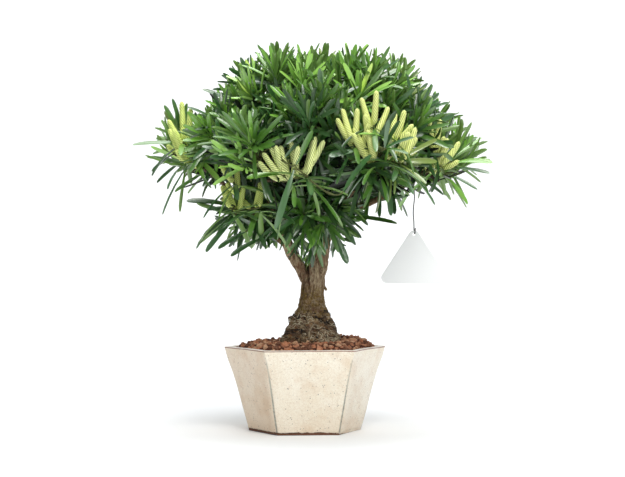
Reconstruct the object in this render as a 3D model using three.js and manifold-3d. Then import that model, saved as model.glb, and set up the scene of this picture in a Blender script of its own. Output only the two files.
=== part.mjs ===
// A podocarpus bonsai in a six-sided glazed pot, in millimetres, with +Z up.
// The origin is the centre of the pot's flat underside, and the front of the pot faces -Y.
// A trunk with a root flare stands on the soil, forks low and runs up through the crown.
// Four tiers of boughs leave the trunk and its left limb, and each ends in one mass of foliage.
// Sprays of pollen cones stand on short stems beside some of the boughs, and a blank tag hangs
// on a wire from a bough on the right.

import * as THREE from "three";
import { mergeVertices } from "three/addons/utils/BufferGeometryUtils.js";
import Module from "manifold-3d";

const wasm = await Module();
wasm.setup();

// ---- Driving dimensions ----

const GAP = 0.3; // clear space between neighbouring pieces
const GOLDEN_ANGLE = Math.PI * (3 - Math.sqrt(5));

const POT = {
  height: 106,
  rimReach: 102, // from the centre to a side corner, at the rim
  baseReach: 72.7, // the same, where the wall meets the foot
  frontShare: 0.535, // where the front corners lie, as a share of the reach
  depthShare: 0.866, // how far the front face lies from the centre, as a share of the reach
  turn: THREE.MathUtils.degToRad(3.9),
  wall: 7,
  floor: 9,
  footHeight: 3,
  footInset: 1.6,
  grooveWidth: 3.2,
  grooveDepth: 1.6,
  grooveFrom: 7, // height at which the corner grooves start
  grooveTo: 92, // height at which they have run out
  grooveFade: 20, // the length over which they run out
};

// The soil rises from the wall to the trunk's flat seat, and is heaped up to the back right.
const SOIL = {
  edge: 101,
  shoulder: 107,
  shoulderReach: 82,
  crest: 111,
  crestReach: 68,
  seat: 111,
  seatReach: 55,
  heap: 7,
  heapTowards: THREE.MathUtils.degToRad(25),
};

const TRUNK = {
  path: [
    [6, 0, 111.3],
    [8.5, 0, 140],
    [9, 0, 170],
    [11, 0, 190],
    [17, 2, 215],
    [24, 4, 255],
    [34, 5, 295],
    [27, 2, 340],
    [18, 0, 385],
  ],
  // height and radius, from the root flare to the tip
  taper: [
    [111.3, 36],
    [118, 33],
    [131, 28],
    [144, 22],
    [156, 16.5],
    [170, 14],
    [188, 13.2],
    [204, 13],
    [216, 11.5],
    [255, 9.5],
    [300, 8],
    [345, 6],
    [385, 3.2],
  ],
  sides: 14,
  rows: 18,
  lobes: 5, // buttress roots in the flare
  lobeDepth: 0.13,
  flareTop: 160,
  stub: { from: [2, 0, 140], to: [-20, -4, 140], radius: 2.8 }, // what is left of a cut bough
};

const LEFT_LIMB = {
  path: [
    [7, 0, 184],
    [-10, -1, 212],
    [-20, -3, 230],
    [-28, -6, 262],
    [-25, -8, 300],
    [-18, -4, 336],
  ],
  taper: [
    [184, 8.5],
    [212, 7.2],
    [230, 6],
    [300, 4.6],
    [336, 3.4],
  ],
  sides: 8,
  rows: 12,
};

const BOUGH = {
  rootShare: 0.62, // radius at the root, as a share of the parent's
  rootMost: 5.2,
  tip: 2.3,
  sides: 5,
  rows: 4,
  spread: 12, // how far apart in height the boughs of one tier leave their parent
  leave: [0.32, 0.16], // how far out and up a bough starts, as shares of its length
  arrive: [0.3, 0.04], // how far in and down it comes to its mass
  sway: 0.07,
  seed: 7000,
};
const LEFT_OF = -25; // a mass centred further left than this grows from the left limb

// Each tier is a ring of masses round the crown's middle, with angles from +X towards +Y. A
// ring is shifted and sloped a little to the right, and shoots below a mass's centre are
// shorter than those above it. The apex is a single mass on the trunk's own tip.
const CROWN = { middle: [13, 0], depthShare: 0.86 };
const TIERS = [
  {
    name: "apex", count: 1, from: -90, ring: 0, height: 420, shift: 8, slope: 0,
    reach: [40, 40, 30], under: 0.8, attach: 385, lift: 0.5,
  },
  {
    name: "top", count: 5, from: -126, ring: 84, height: 410, shift: 10, slope: 0,
    reach: [42, 42, 38], under: 0.8, attach: 346, lift: 0.5,
  },
  {
    name: "shoulder", count: 6, from: -90, ring: 132, height: 370, shift: 0, slope: 0,
    reach: [42, 42, 36], under: 0.8, attach: 308, lift: 0.3,
  },
  {
    name: "skirt", count: 7, from: -450 / 7, ring: 160, height: 337, shift: 0, slope: -0.03,
    reach: [42, 42, 34], under: 0.6, attach: 262, lift: 0.16,
  },
  {
    name: "low", count: 4, from: 200, ring: 66, height: 280, shift: -24, slope: 0.15,
    reach: [46, 44, 34], under: 0.8, attach: 226, lift: -0.3,
  },
];
const COMPASS = ["right", "back_right", "back", "back_left", "left", "front_left", "front", "front_right"];

const SHOOT = {
  spots: 8, // places tried round each mass
  inward: -0.4, // a shoot turned further than this towards the crown's middle is left out
  leastReach: 10,
  stemShare: 0.6, // length of the stem, as a share of the mass's reach
  twigRadius: 2.2,
  thickest: 0.5, // where along its length a twig is thickest
  bud: 1.12, // the end of a twig, as a share of its length
  roots: [0.35, 0.95], // the stretch of the stem that twigs leave
  leastShare: 0.84, // the shortest shoot, as a share of its reach
  leafRoom: 0.8, // the share of a leaf's length kept free before a border
  lastOrgan: 0.97, // where along a twig its last leaf or cone starts
  leastOrgan: 0.86, // the smallest leaf or cone, as a share of the largest
};

const LEAF = {
  perShoot: 6,
  sizes: [1, 0.84, 0.68], // tried in turn until one fits
  length: 64,
  width: 16,
  thickness: 1.8,
  widestAt: 0.45,
  bladeFrom: 0.16, // the share of the length that may touch the twig
  bearing: 32, // the length of twig, back from its tip, that carries leaves
  splayFirst: THREE.MathUtils.degToRad(76),
  splayLast: THREE.MathUtils.degToRad(16),
  arch: 0.06, // how far the middle stands above the chord, as a share of the length
};

const CONE = {
  sizes: [1, 0.85],
  length: 39,
  radius: 3.5,
  bladeFrom: 0.4,
  bearing: 18,
  leavesBoughAt: 0.8, // where along its bough a spray's stem starts
  stemShare: 0.75, // how far the stem goes towards the middle of its whorls
  roots: [0.5, 0.95], // the stretch of the stem that twigs leave
  profile: [[0.32, 1], [0.85, 0.85]], // thickness along the cone, as shares of its radius
  seed: 900,
  lift: 0.1,
  splayFirst: THREE.MathUtils.degToRad(44),
  splayLast: THREE.MathUtils.degToRad(14),
  upturn: 0.6,
};

// Sprays of pollen cones. Each grows from a bough, and each of its whorls is where a bunch of
// cones starts, with the number of its cones and how far the bunch leans to the right.
const CONE_SPRAYS = [
  {
    name: "front_left",
    bough: "skirt_front_left",
    whorls: [
      { at: [-16, -150, 309], cones: 6, lean: -0.7 },
      { at: [4, -150, 316], cones: 4, lean: 0.4 },
    ],
  },
  {
    name: "front_right",
    bough: "skirt_front_right",
    whorls: [
      { at: [57, -150, 354], cones: 4, lean: -0.3 },
      { at: [83, -158, 332], cones: 4, lean: -0.4 },
      { at: [82, -140, 376], cones: 3, lean: 0 },
      { at: [108, -140, 358], cones: 3, lean: 0.5 },
      { at: [114, -145, 330], cones: 4, lean: 0.9 },
    ],
  },
  {
    name: "far_left",
    bough: "skirt_left",
    whorls: [
      { at: [-147, -62, 337], cones: 4, lean: -0.9 },
      { at: [-150, -50, 362], cones: 3, lean: -0.1 },
    ],
  },
  {
    name: "far_right",
    bough: "skirt_right",
    whorls: [
      { at: [167, -60, 331], cones: 5, lean: 1 },
      { at: [160, -50, 350], cones: 3, lean: 0.1 },
    ],
  },
  {
    name: "low_left",
    bough: "low_left",
    whorls: [
      { at: [-86, -96, 310], cones: 3, lean: -0.8 },
      { at: [-91, -90, 279], cones: 4, lean: -0.4 },
      { at: [-54, -96, 279], cones: 3, lean: 0 },
    ],
  },
  {
    name: "back_left",
    bough: "skirt_back",
    whorls: [
      { at: [-84, 140, 330], cones: 4, lean: -0.6 },
      { at: [-56, 152, 344], cones: 3, lean: 0.1 },
    ],
  },
  {
    name: "back_right",
    bough: "skirt_back_right",
    whorls: [
      { at: [76, 138, 352], cones: 4, lean: -0.1 },
      { at: [106, 140, 332], cones: 4, lean: 0.7 },
    ],
  },
];

// The tag hangs on a wire with an eye through its hole and a ring round the bough.
const TAG = {
  bough: "skirt_right",
  hangsAt: 134, // distance to the right of the pot's middle
  top: 252,
  width: 82,
  height: 66,
  corner: 7,
  thickness: 0.9,
  hole: 1.8,
  holeBelowTop: 5,
  wire: 0.45, // radius
  eye: 3.4,
  ringSegments: 12,
};

const COLOURS = {
  glaze: 0xd9c7a4,
  soil: 0x6e4230,
  bark: 0x6d5a42,
  leaf: 0x2f5a26,
  cone: 0xc3cf62,
  tag: 0xf4f4f2,
  wire: 0x3c3a3a,
};

// ---- Small helpers ----

const vector = (p) => new THREE.Vector3(...p);

// A seeded row of numbers from 0 to 1, the same on every run.
function seeded(seed) {
  let state = seed >>> 0;
  return () => {
    state = (state + 0x6d2b79f5) >>> 0;
    let t = Math.imul(state ^ (state >>> 15), state | 1);
    t ^= t + Math.imul(t ^ (t >>> 7), t | 61);
    return ((t ^ (t >>> 14)) >>> 0) / 4294967296;
  };
}

// The value at x on the line through a table of [x, value] rows.
function along(table, x) {
  const next = table.findIndex((row) => row[0] >= x);
  if (next === 0) return table[0][1];
  if (next < 0) return table[table.length - 1][1];
  const [x0, a] = table[next - 1];
  const [x1, b] = table[next];
  return THREE.MathUtils.lerp(a, b, (x - x0) / (x1 - x0));
}

function solidOf(geometry) {
  const bare = geometry.clone();
  bare.deleteAttribute("normal");
  bare.deleteAttribute("uv");
  const merged = mergeVertices(bare, 1e-4);
  return new wasm.Manifold(
    new wasm.Mesh({
      numProp: 3,
      vertProperties: merged.attributes.position.array,
      triVerts: new Uint32Array(merged.index.array),
    }),
  );
}

function geometryOf(solid) {
  const mesh = solid.getMesh();
  const geometry = new THREE.BufferGeometry();
  geometry.setAttribute("position", new THREE.BufferAttribute(mesh.vertProperties, mesh.numProp));
  geometry.setIndex(new THREE.BufferAttribute(mesh.triVerts, 1));
  geometry.computeVertexNormals();
  return geometry;
}

const largestOf = (solid) => solid.decompose().reduce((a, b) => (b.volume() > a.volume() ? b : a));

// A cylinder's rows and sides moved to the points that at(row, side) gives. Sides run
// anticlockwise seen from the last row, and each cap is a fan about the middle of its ring.
function moulded(sides, rows, at) {
  const geometry = new THREE.CylinderGeometry(1, 1, 1, sides, rows);
  const position = geometry.attributes.position;
  const middle = (row) => {
    const sum = new THREE.Vector3();
    for (let side = 0; side < sides; side++) sum.add(at(row, side));
    return sum.divideScalar(sides);
  };
  for (let i = 0; i < position.count; i++) {
    const [x, y, z] = [position.getX(i), position.getY(i), position.getZ(i)];
    const row = Math.round((y + 0.5) * rows);
    const turn = Math.atan2(x, z) / (2 * Math.PI);
    const side = (Math.round(turn * sides) + sides) % sides;
    const point = Math.hypot(x, z) < 1e-6 ? middle(row) : at(row, side);
    position.setXYZ(i, point.x, point.y, point.z);
  }
  return geometry;
}

// The same for a shape with a point at either end, which is moulded from a sphere: rows count
// from pole to pole.
function spindle(sides, rows, at) {
  const geometry = new THREE.SphereGeometry(1, sides, rows);
  const position = geometry.attributes.position;
  for (let i = 0; i < position.count; i++) {
    const row = rows - Math.floor(i / (sides + 1));
    const side = (i % (sides + 1)) % sides;
    const point = at(row, side);
    position.setXYZ(i, point.x, point.y, point.z);
  }
  return geometry;
}

// A spindle round a curve. Its stations are rows of [share of the curve, radius].
function spindleAlong(curve, sides, stations) {
  const frames = curve.computeFrenetFrames(stations.length - 1, false);
  return spindle(sides, stations.length - 1, (row, side) => {
    const [share, radius] = stations[row];
    const angle = (2 * Math.PI * side) / sides;
    return curve
      .getPoint(share)
      .addScaledVector(frames.normals[row], radius * Math.cos(angle))
      .addScaledVector(frames.binormals[row], radius * Math.sin(angle));
  });
}

// ---- Pot and soil ----

// A corner of the pot's six-sided outline, turned a little from the front.
function potCorner(i, reach) {
  const across = [1, POT.frontShare, -POT.frontShare, -1, -POT.frontShare, POT.frontShare][i % 6];
  const deep = [0, POT.depthShare, POT.depthShare, 0, -POT.depthShare, -POT.depthShare][i % 6];
  return new THREE.Vector2(across * reach, deep * reach).rotateAround(new THREE.Vector2(), POT.turn);
}

// Three points a corner: the two sides of its groove and the groove's bottom between them.
function potOutline(i, reach, groove) {
  const corner = potCorner(Math.floor(i / 3), reach);
  if (i % 3 === 1) return corner.multiplyScalar(1 - groove / reach);
  const other = potCorner(Math.floor(i / 3) + (i % 3 === 0 ? 5 : 1), reach);
  return corner.add(other.sub(corner).setLength(POT.grooveWidth));
}

const reachAt = (z) =>
  THREE.MathUtils.mapLinear(z, POT.footHeight, POT.height, POT.baseReach, POT.rimReach);

function makePot() {
  const foot = POT.baseReach - POT.footInset;
  const levels = [
    [0, foot, 0],
    [POT.footHeight, foot, 0],
    [POT.footHeight, POT.baseReach, POT.grooveDepth / 2],
    [POT.grooveFrom, reachAt(POT.grooveFrom), POT.grooveDepth],
    [POT.grooveTo - POT.grooveFade, reachAt(POT.grooveTo - POT.grooveFade), POT.grooveDepth],
    [POT.grooveTo, reachAt(POT.grooveTo), 0],
    [POT.height, POT.rimReach, 0],
  ];
  const outside = moulded(18, levels.length - 1, (row, side) => {
    const [z, reach, groove] = levels[row];
    const p = potOutline(side, reach, groove);
    return new THREE.Vector3(p.x, p.y, z);
  });
  return solidOf(outside).subtract(potFilling(0, [[POT.height + 1, 0, 0]]));
}

// What fills the pot down to its floor: a six-sided solid inside the wall, whose top is built
// from further rings of [height, reach, heap]. A reach of 0 means the wall's own, and heap is
// how much higher the ring stands on the side that the soil is heaped to.
function potFilling(clear, top) {
  const inside = (z) => reachAt(z) - (POT.wall + clear) / POT.depthShare;
  const levels = [[POT.floor + clear, 0, 0], ...top];
  return solidOf(
    moulded(6, levels.length - 1, (row, side) => {
      const [z, reach, heap] = levels[row];
      const p = potCorner(side, reach || inside(z));
      const towards = Math.max(0, Math.cos(p.angle() - SOIL.heapTowards));
      return new THREE.Vector3(p.x, p.y, z + heap * towards);
    }),
  );
}

const makeSoil = () =>
  potFilling(GAP, [
    [SOIL.edge, 0, 0],
    [SOIL.shoulder, SOIL.shoulderReach, 0.6 * SOIL.heap],
    [SOIL.crest, SOIL.crestReach, SOIL.heap],
    [SOIL.seat, SOIL.seatReach, 0],
  ]);

// ---- Trunk, limb and boughs ----

// A tapering limb along a curve. Each limb's rings stand square to its curve.
function limbSolid(limb, grow = 0) {
  const frames = limb.curve.computeFrenetFrames(limb.rows, false);
  const push = grow / Math.cos(Math.PI / limb.sides);
  return solidOf(
    moulded(limb.sides, limb.rows, (row, side) => {
      const share = row / limb.rows;
      const middle = limb.curve.getPointAt(share);
      const angle = (2 * Math.PI * side) / limb.sides;
      const radius = limb.radiusAt(middle.z, angle, share) + push;
      return middle
        .addScaledVector(frames.normals[row], radius * Math.cos(angle))
        .addScaledVector(frames.binormals[row], radius * Math.sin(angle));
    }),
  );
}

// The trunk's rings stay level, so that its foot is a flat cut, and its flare has root lobes.
function trunkSolid(trunk, grow = 0) {
  const push = grow / Math.cos(Math.PI / trunk.sides);
  return solidOf(
    moulded(trunk.sides, trunk.rows, (row, side) => {
      const middle = trunk.curve.getPoint(row / trunk.rows);
      const angle = (2 * Math.PI * side) / trunk.sides;
      const radius = trunk.radiusAt(middle.z, angle) + push;
      return new THREE.Vector3(Math.cos(angle), Math.sin(angle), 0).multiplyScalar(radius).add(middle);
    }),
  );
}

function trunkRadius(z, angle) {
  const flare = Math.max(0, 1 - (z - SOIL.seat) / (TRUNK.flareTop - SOIL.seat));
  return along(TRUNK.taper, z) * (1 + TRUNK.lobeDepth * flare * Math.cos(TRUNK.lobes * angle + 1));
}

function makeTrunk() {
  const curve = new THREE.CatmullRomCurve3(TRUNK.path.map(vector), false, "catmullrom");
  return { ...TRUNK, name: "trunk", curve, radiusAt: trunkRadius, solid: trunkSolid };
}

function makeStub() {
  const { from, to, radius } = TRUNK.stub;
  const curve = new THREE.LineCurve3(vector(from), vector(to));
  return limbSolid({ curve, radiusAt: () => radius, sides: 6, rows: 1 });
}

function makeLeftLimb() {
  const curve = new THREE.CatmullRomCurve3(LEFT_LIMB.path.map(vector), false, "catmullrom");
  const radiusAt = (z) => along(LEFT_LIMB.taper, z);
  return { ...LEFT_LIMB, name: "limb_left", curve, radiusAt, solid: limbSolid };
}

// The point of a limb's curve that is nearest to a height.
function atHeight(limb, z) {
  const points = limb.curve.getPoints(60);
  return points.reduce((a, b) => (Math.abs(b.z - z) < Math.abs(a.z - z) ? b : a));
}

// One bough, from the middle of its parent to the near side of its mass.
function makeBough(mass, parent, random) {
  const root = atHeight(parent, mass.attach + BOUGH.spread * (random() - 0.5));
  const outward = mass.centre.clone().sub(root).normalize();
  const tip = mass.centre.clone().addScaledVector(outward, -SHOOT.stemShare * mass.reach[0]);
  const length = tip.distanceTo(root);
  const sway = () => (random() - 0.5) * 2 * BOUGH.sway * length;
  const flat = new THREE.Vector3(outward.x, outward.y, 0).normalize();
  const first = root.clone().addScaledVector(flat, BOUGH.leave[0] * length);
  first.add(new THREE.Vector3(sway(), sway(), BOUGH.leave[1] * length));
  const second = tip.clone().addScaledVector(outward, -BOUGH.arrive[0] * length);
  second.add(new THREE.Vector3(sway(), sway(), -BOUGH.arrive[1] * length));
  const thick = Math.min(BOUGH.rootMost, BOUGH.rootShare * parent.radiusAt(root.z, 0));
  return {
    name: "bough_" + mass.name,
    curve: new THREE.CubicBezierCurve3(root, first, second, tip),
    radiusAt: (z, angle, share) => THREE.MathUtils.lerp(thick, BOUGH.tip, share),
    sides: BOUGH.sides,
    rows: BOUGH.rows,
    solid: limbSolid,
  };
}

// ---- Masses ----

// The masses of a tier, spread evenly round its ring and named by the side they face.
function tierMasses(tier, tierNumber) {
  return Array.from({ length: tier.count }, (_, i) => {
    const degrees = tier.from + (360 * i) / tier.count;
    const angle = THREE.MathUtils.degToRad(degrees);
    const across = tier.ring * Math.cos(angle);
    const side = COMPASS[((Math.round(degrees / 45) % 8) + 8) % 8];
    return {
      name: tier.name + "_" + side,
      seed: 100 * (tierNumber + 1) + i,
      centre: new THREE.Vector3(
        CROWN.middle[0] + tier.shift + across,
        CROWN.middle[1] + tier.ring * CROWN.depthShare * Math.sin(angle),
        tier.height + tier.slope * across,
      ),
      reach: tier.reach,
      under: tier.under,
      attach: tier.attach,
      lift: tier.lift,
    };
  });
}

// The planes halfway between one mass's centre and every other's, which bound its space.
function spaceOf(mass, masses) {
  return masses
    .filter((other) => other !== mass)
    .map((other) => {
      const normal = other.centre.clone().sub(mass.centre).normalize();
      const halfway = mass.centre.clone().add(other.centre).multiplyScalar(0.5);
      return new THREE.Plane().setFromNormalAndCoplanarPoint(normal, halfway);
    });
}

function insideSpace(planes, solid) {
  const position = new THREE.BufferAttribute(solid.getMesh().vertProperties, 3);
  const points = Array.from({ length: position.count }, (_, i) =>
    new THREE.Vector3().fromBufferAttribute(position, i),
  );
  return points.every((p) => planes.every((plane) => plane.distanceToPoint(p) < -GAP / 2));
}

// Directions spread evenly over a ball, without those that turn back to where the stem starts.
function shootDirections(count, outward, random) {
  const turn = random() * 2 * Math.PI;
  return Array.from({ length: count }, (_, i) => {
    const height = 1 - (2 * (i + 0.5)) / count;
    const angle = turn + i * GOLDEN_ANGLE;
    const level = Math.sqrt(1 - height * height);
    return new THREE.Vector3(level * Math.cos(angle), level * Math.sin(angle), height);
  }).filter((d) => d.dot(outward) > SHOOT.inward);
}

// A stem: a tapering bar of four sides.
const stemSolid = (line) =>
  limbSolid({
    curve: line,
    radiusAt: (z, angle, share) => THREE.MathUtils.lerp(BOUGH.tip, SHOOT.twigRadius, share),
    sides: 4,
    rows: 1,
  });

// A twig: three sides that run to a point at its root, inside the stem, and to a bud just
// beyond its last leaf.
const twigSolid = (line) =>
  solidOf(spindleAlong(line, 3, [[0, 0], [SHOOT.thickest, SHOOT.twigRadius], [SHOOT.bud, 0]]));

// The straight stem of a mass or spray, to its heart.
const makeStem = (start, outward, length) =>
  new THREE.LineCurve3(start, start.clone().addScaledVector(outward, length));

// How far a shoot goes from the middle of its mass: to the mass's surface, or, towards a
// neighbour, only so far that its leaves still end inside the mass's own space.
function shootReach(mass, direction, planes) {
  const under = direction.z < 0 ? mass.under : 1;
  const surface = under * new THREE.Vector3(...mass.reach).multiply(direction).length();
  const ray = new THREE.Ray(mass.centre, direction);
  const borders = planes.map((plane) => ray.distanceToPlane(plane) ?? Infinity);
  const room = Math.min(...borders) - SHOOT.leafRoom * LEAF.length;
  return Math.max(SHOOT.leastReach, Math.min(surface, room));
}

// The twigs of a mass: each leaves the stem for its place, and its leaves follow it.
function makeTwigs(stem, mass, outward, planes, random) {
  return shootDirections(SHOOT.spots, outward, random).map((direction) => {
    const root = stem.getPoint(THREE.MathUtils.lerp(...SHOOT.roots, random()));
    const reach = shootReach(mass, direction, planes) * THREE.MathUtils.lerp(SHOOT.leastShare, 1, random());
    const tip = mass.centre.clone().addScaledVector(direction, reach);
    const line = new THREE.LineCurve3(root, tip);
    return { line, axis: line.getTangent(0), count: LEAF.perShoot };
  });
}

// The twigs of a spray: each ends in its whorl, whose cones follow the whorl's lean.
function makeWhorlTwigs(stem, whorls) {
  return whorls.map((whorl, i) => {
    const root = stem.getPoint(THREE.MathUtils.lerp(...CONE.roots, i / (whorls.length - 1)));
    const axis = new THREE.Vector3(whorl.lean, 0, 1).normalize();
    return { line: new THREE.LineCurve3(root, vector(whorl.at)), axis, count: whorl.cones };
  });
}

// Where a leaf or cone leaves its twig and which way it points: a spiral whose members close
// in on the shoot's axis towards the tip.
function organPlaces(twig, lift, organ, random) {
  const { line, axis, count } = twig;
  const start = random() * 2 * Math.PI;
  const first = Math.max(0.2, 1 - organ.bearing / line.getLength());
  return Array.from({ length: count }, (_, i) => {
    const share = i / (count - 1);
    const splay = THREE.MathUtils.lerp(organ.splayFirst, organ.splayLast, share);
    const across = new THREE.Vector3(0, 0, 1).cross(axis).normalize();
    const turned = across.applyAxisAngle(axis, start + i * GOLDEN_ANGLE);
    const direction = axis.clone().multiplyScalar(Math.cos(splay)).addScaledVector(turned, Math.sin(splay));
    direction.z += lift;
    direction.normalize();
    const root = line.getPoint(THREE.MathUtils.lerp(first, SHOOT.lastOrgan, share));
    return { root, axis, direction, size: THREE.MathUtils.lerp(SHOOT.leastOrgan, 1, random()) };
  });
}

// A leaf with a flat underside and a ridge. It starts as a point inside its twig, or further
// along, and ends as a point.
function leafGeometry(place, size, from) {
  const length = LEAF.length * place.size * size;
  const side = place.axis.clone().cross(place.direction).normalize();
  const face = place.direction.clone().cross(side).normalize();
  return spindle(3, 2, (row, k) => {
    const share = [from, LEAF.widestAt, 1][row];
    const [across, up] = [[0, 0.5], [-0.5, -0.5], [0.5, -0.5]][k];
    const point = place.root.clone().addScaledVector(place.direction, share * length);
    if (row !== 1) return point;
    return point
      .addScaledVector(side, across * LEAF.width * size)
      .addScaledVector(face, up * LEAF.thickness + LEAF.arch * length);
  });
}

// A pollen cone: a four-sided catkin that curves upwards from its twig.
function coneGeometry(place, size, from) {
  const length = CONE.length * place.size * size;
  const upturned = place.direction.clone();
  upturned.z += CONE.upturn;
  const bend = place.root.clone().addScaledVector(place.direction, 0.5 * length);
  const tip = bend.clone().addScaledVector(upturned.normalize(), 0.5 * length);
  const curve = new THREE.QuadraticBezierCurve3(place.root, bend, tip);
  const rings = CONE.profile.map(([share, width]) => [share, width * CONE.radius]);
  return spindleAlong(curve, 4, [[from, 0], ...rings, [1, 0]]);
}

// One mass or spray as a single solid: its stem, cut clear of the limbs, the twigs that fit, and
// on them the leaves or cones that fit. A twig or leaf that would leave its space or touch an
// obstacle is left out, and so is a leaf whose blade would touch what has grown so far. Scraps
// and sealed hollows go.
function growMass({ stem, twigs, planes, lift, organ, random }, obstacles) {
  const free = (solid) => insideSpace(planes, solid) && solid.intersect(obstacles).isEmpty();
  let grown = largestOf(stemSolid(stem).subtract(obstacles));
  for (const twig of twigs) {
    const places = organPlaces(twig, lift, organ, random);
    const limb = twigSolid(twig.line);
    if (!free(limb)) continue;
    grown = grown.add(limb);
    for (const place of places) {
      for (const size of organ.sizes) {
        const whole = solidOf(organ.shape(place, size, 0));
        const blade = solidOf(organ.shape(place, size, organ.bladeFrom));
        if (!free(whole) || !blade.intersect(grown).isEmpty()) continue;
        grown = grown.add(whole);
        break;
      }
    }
  }
  return largestOf(grown);
}

// ---- Tag ----

// A blank plate: a triangle with round corners, an arc at each, and a hole near its top.
function makeTagSolid(hang) {
  const half = TAG.width / 2 - TAG.corner;
  const rise = TAG.height - 2 * TAG.corner;
  const slant = Math.atan2(rise, half);
  const shape = new THREE.Shape();
  shape.absarc(-half, -rise, TAG.corner, slant + Math.PI / 2, -Math.PI / 2, false);
  shape.absarc(half, -rise, TAG.corner, -Math.PI / 2, Math.PI / 2 - slant, false);
  shape.absarc(0, 0, TAG.corner, Math.PI / 2 - slant, slant + Math.PI / 2, false);
  const hole = new THREE.Path();
  hole.absarc(0, TAG.corner - TAG.holeBelowTop, TAG.hole, 0, 2 * Math.PI, true);
  shape.holes.push(hole);
  const options = { depth: TAG.thickness, bevelEnabled: false, curveSegments: 5 };
  const plate = new THREE.ExtrudeGeometry(shape, options);
  plate.rotateX(Math.PI / 2);
  plate.translate(hang.x, hang.y + TAG.thickness / 2, TAG.top - TAG.corner);
  return solidOf(plate);
}

// A ring of wire round an axis, whose straight segments stay clear of a radius.
const ringReach = (clear) => (clear + TAG.wire) / Math.cos(Math.PI / TAG.ringSegments);

function ringSolid(centre, axis, clear) {
  const ring = new THREE.TorusGeometry(ringReach(clear), TAG.wire, 4, TAG.ringSegments);
  ring.applyQuaternion(new THREE.Quaternion().setFromUnitVectors(new THREE.Vector3(0, 0, 1), axis));
  ring.translate(centre.x, centre.y, centre.z);
  return solidOf(ring);
}

// The wire, from its eye straight up to its ring round the bough.
function makeWireSolid(hang, carrier) {
  const eyeFoot = TAG.top - TAG.holeBelowTop + TAG.hole - GAP - TAG.wire;
  const eye = new THREE.Vector3(hang.x, hang.y, eyeFoot + TAG.eye);
  const top = eye.z + ringReach(TAG.eye - TAG.wire);
  const run = new THREE.CylinderGeometry(TAG.wire, TAG.wire, hang.z - top, 4);
  run.rotateX(Math.PI / 2);
  run.translate(hang.x, hang.y, (hang.z + top) / 2);
  return solidOf(run)
    .add(ringSolid(eye, new THREE.Vector3(1, 0, 0), TAG.eye - TAG.wire))
    .add(ringSolid(carrier.point, carrier.tangent, carrier.radius + GAP));
}

// ---- Assembly ----

const plainMaterial = (colour, roughness) =>
  new THREE.MeshStandardMaterial({ color: colour, roughness, metalness: 0, side: THREE.DoubleSide });

const part = new THREE.Group();

function addMesh(name, solid, material) {
  const mesh = new THREE.Mesh(geometryOf(solid), material);
  mesh.name = name;
  part.add(mesh);
}

const materials = {
  glaze: plainMaterial(COLOURS.glaze, 0.3),
  soil: plainMaterial(COLOURS.soil, 0.95),
  bark: plainMaterial(COLOURS.bark, 0.9),
  leaf: plainMaterial(COLOURS.leaf, 0.45),
  cone: plainMaterial(COLOURS.cone, 0.7),
  tag: plainMaterial(COLOURS.tag, 0.4),
  wire: plainMaterial(COLOURS.wire, 0.5),
};

addMesh("pot", makePot(), materials.glaze);
addMesh("soil", makeSoil(), materials.soil);

// Every limb is cut clear of those made before it, so that none overlaps another. The apex has
// no bough, because it grows from the trunk's tip.
const trunk = makeTrunk();
const leftLimb = makeLeftLimb();
const masses = TIERS.flatMap(tierMasses);
const apex = masses[0];
const boughs = masses.slice(1).map((mass) =>
  makeBough(mass, mass.centre.x < LEFT_OF ? leftLimb : trunk, seeded(BOUGH.seed + mass.seed)),
);
addMesh("trunk", trunk.solid(trunk).add(makeStub()), materials.bark);
let obstacles = trunk.solid(trunk, GAP);
for (const limb of [leftLimb, ...boughs]) {
  addMesh(limb.name, largestOf(limb.solid(limb).subtract(obstacles)), materials.bark);
  obstacles = obstacles.add(limb.solid(limb, GAP));
}

// The tag and its wire come before the foliage, which keeps clear of them.
const boughOf = (name) => boughs.find((bough) => bough.name === "bough_" + name);
const carrier = boughOf(TAG.bough);
const steps = 80; // points tried along the bough
const hookStep = carrier.curve.getPoints(steps).findIndex((p) => p.x > TAG.hangsAt);
const hook = {
  point: carrier.curve.getPoint(hookStep / steps),
  tangent: carrier.curve.getTangent(hookStep / steps),
  radius: carrier.radiusAt(0, 0, hookStep / steps),
};
const below = new THREE.Vector3(0, 0, -1).projectOnPlane(hook.tangent).normalize();
const hang = hook.point.clone().addScaledVector(below, ringReach(hook.radius + GAP));
const tag = makeTagSolid(hang);
const wire = makeWireSolid(hang, hook);
addMesh("tag", tag, materials.tag);
addMesh("tag_wire", wire, materials.wire);
obstacles = obstacles.add(tag).add(wire);

// Sprays of cones, each on a stem of its own from the side of a bough.
CONE_SPRAYS.forEach((spray, i) => {
  const middle = spray.whorls
    .reduce((sum, whorl) => sum.add(vector(whorl.at)), new THREE.Vector3())
    .divideScalar(spray.whorls.length);
  const start = boughOf(spray.bough).curve.getPoint(CONE.leavesBoughAt);
  const stem = new THREE.LineCurve3(start, start.clone().lerp(middle, CONE.stemShare));
  const twigs = makeWhorlTwigs(stem, spray.whorls);
  const organ = { ...CONE, shape: coneGeometry };
  const growth = { stem, twigs, planes: [], lift: CONE.lift, organ, random: seeded(CONE.seed + i) };
  const grown = growMass(growth, obstacles);
  addMesh("cones_" + spray.name, grown, materials.cone);
  obstacles = obstacles.add(grown);
});

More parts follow.
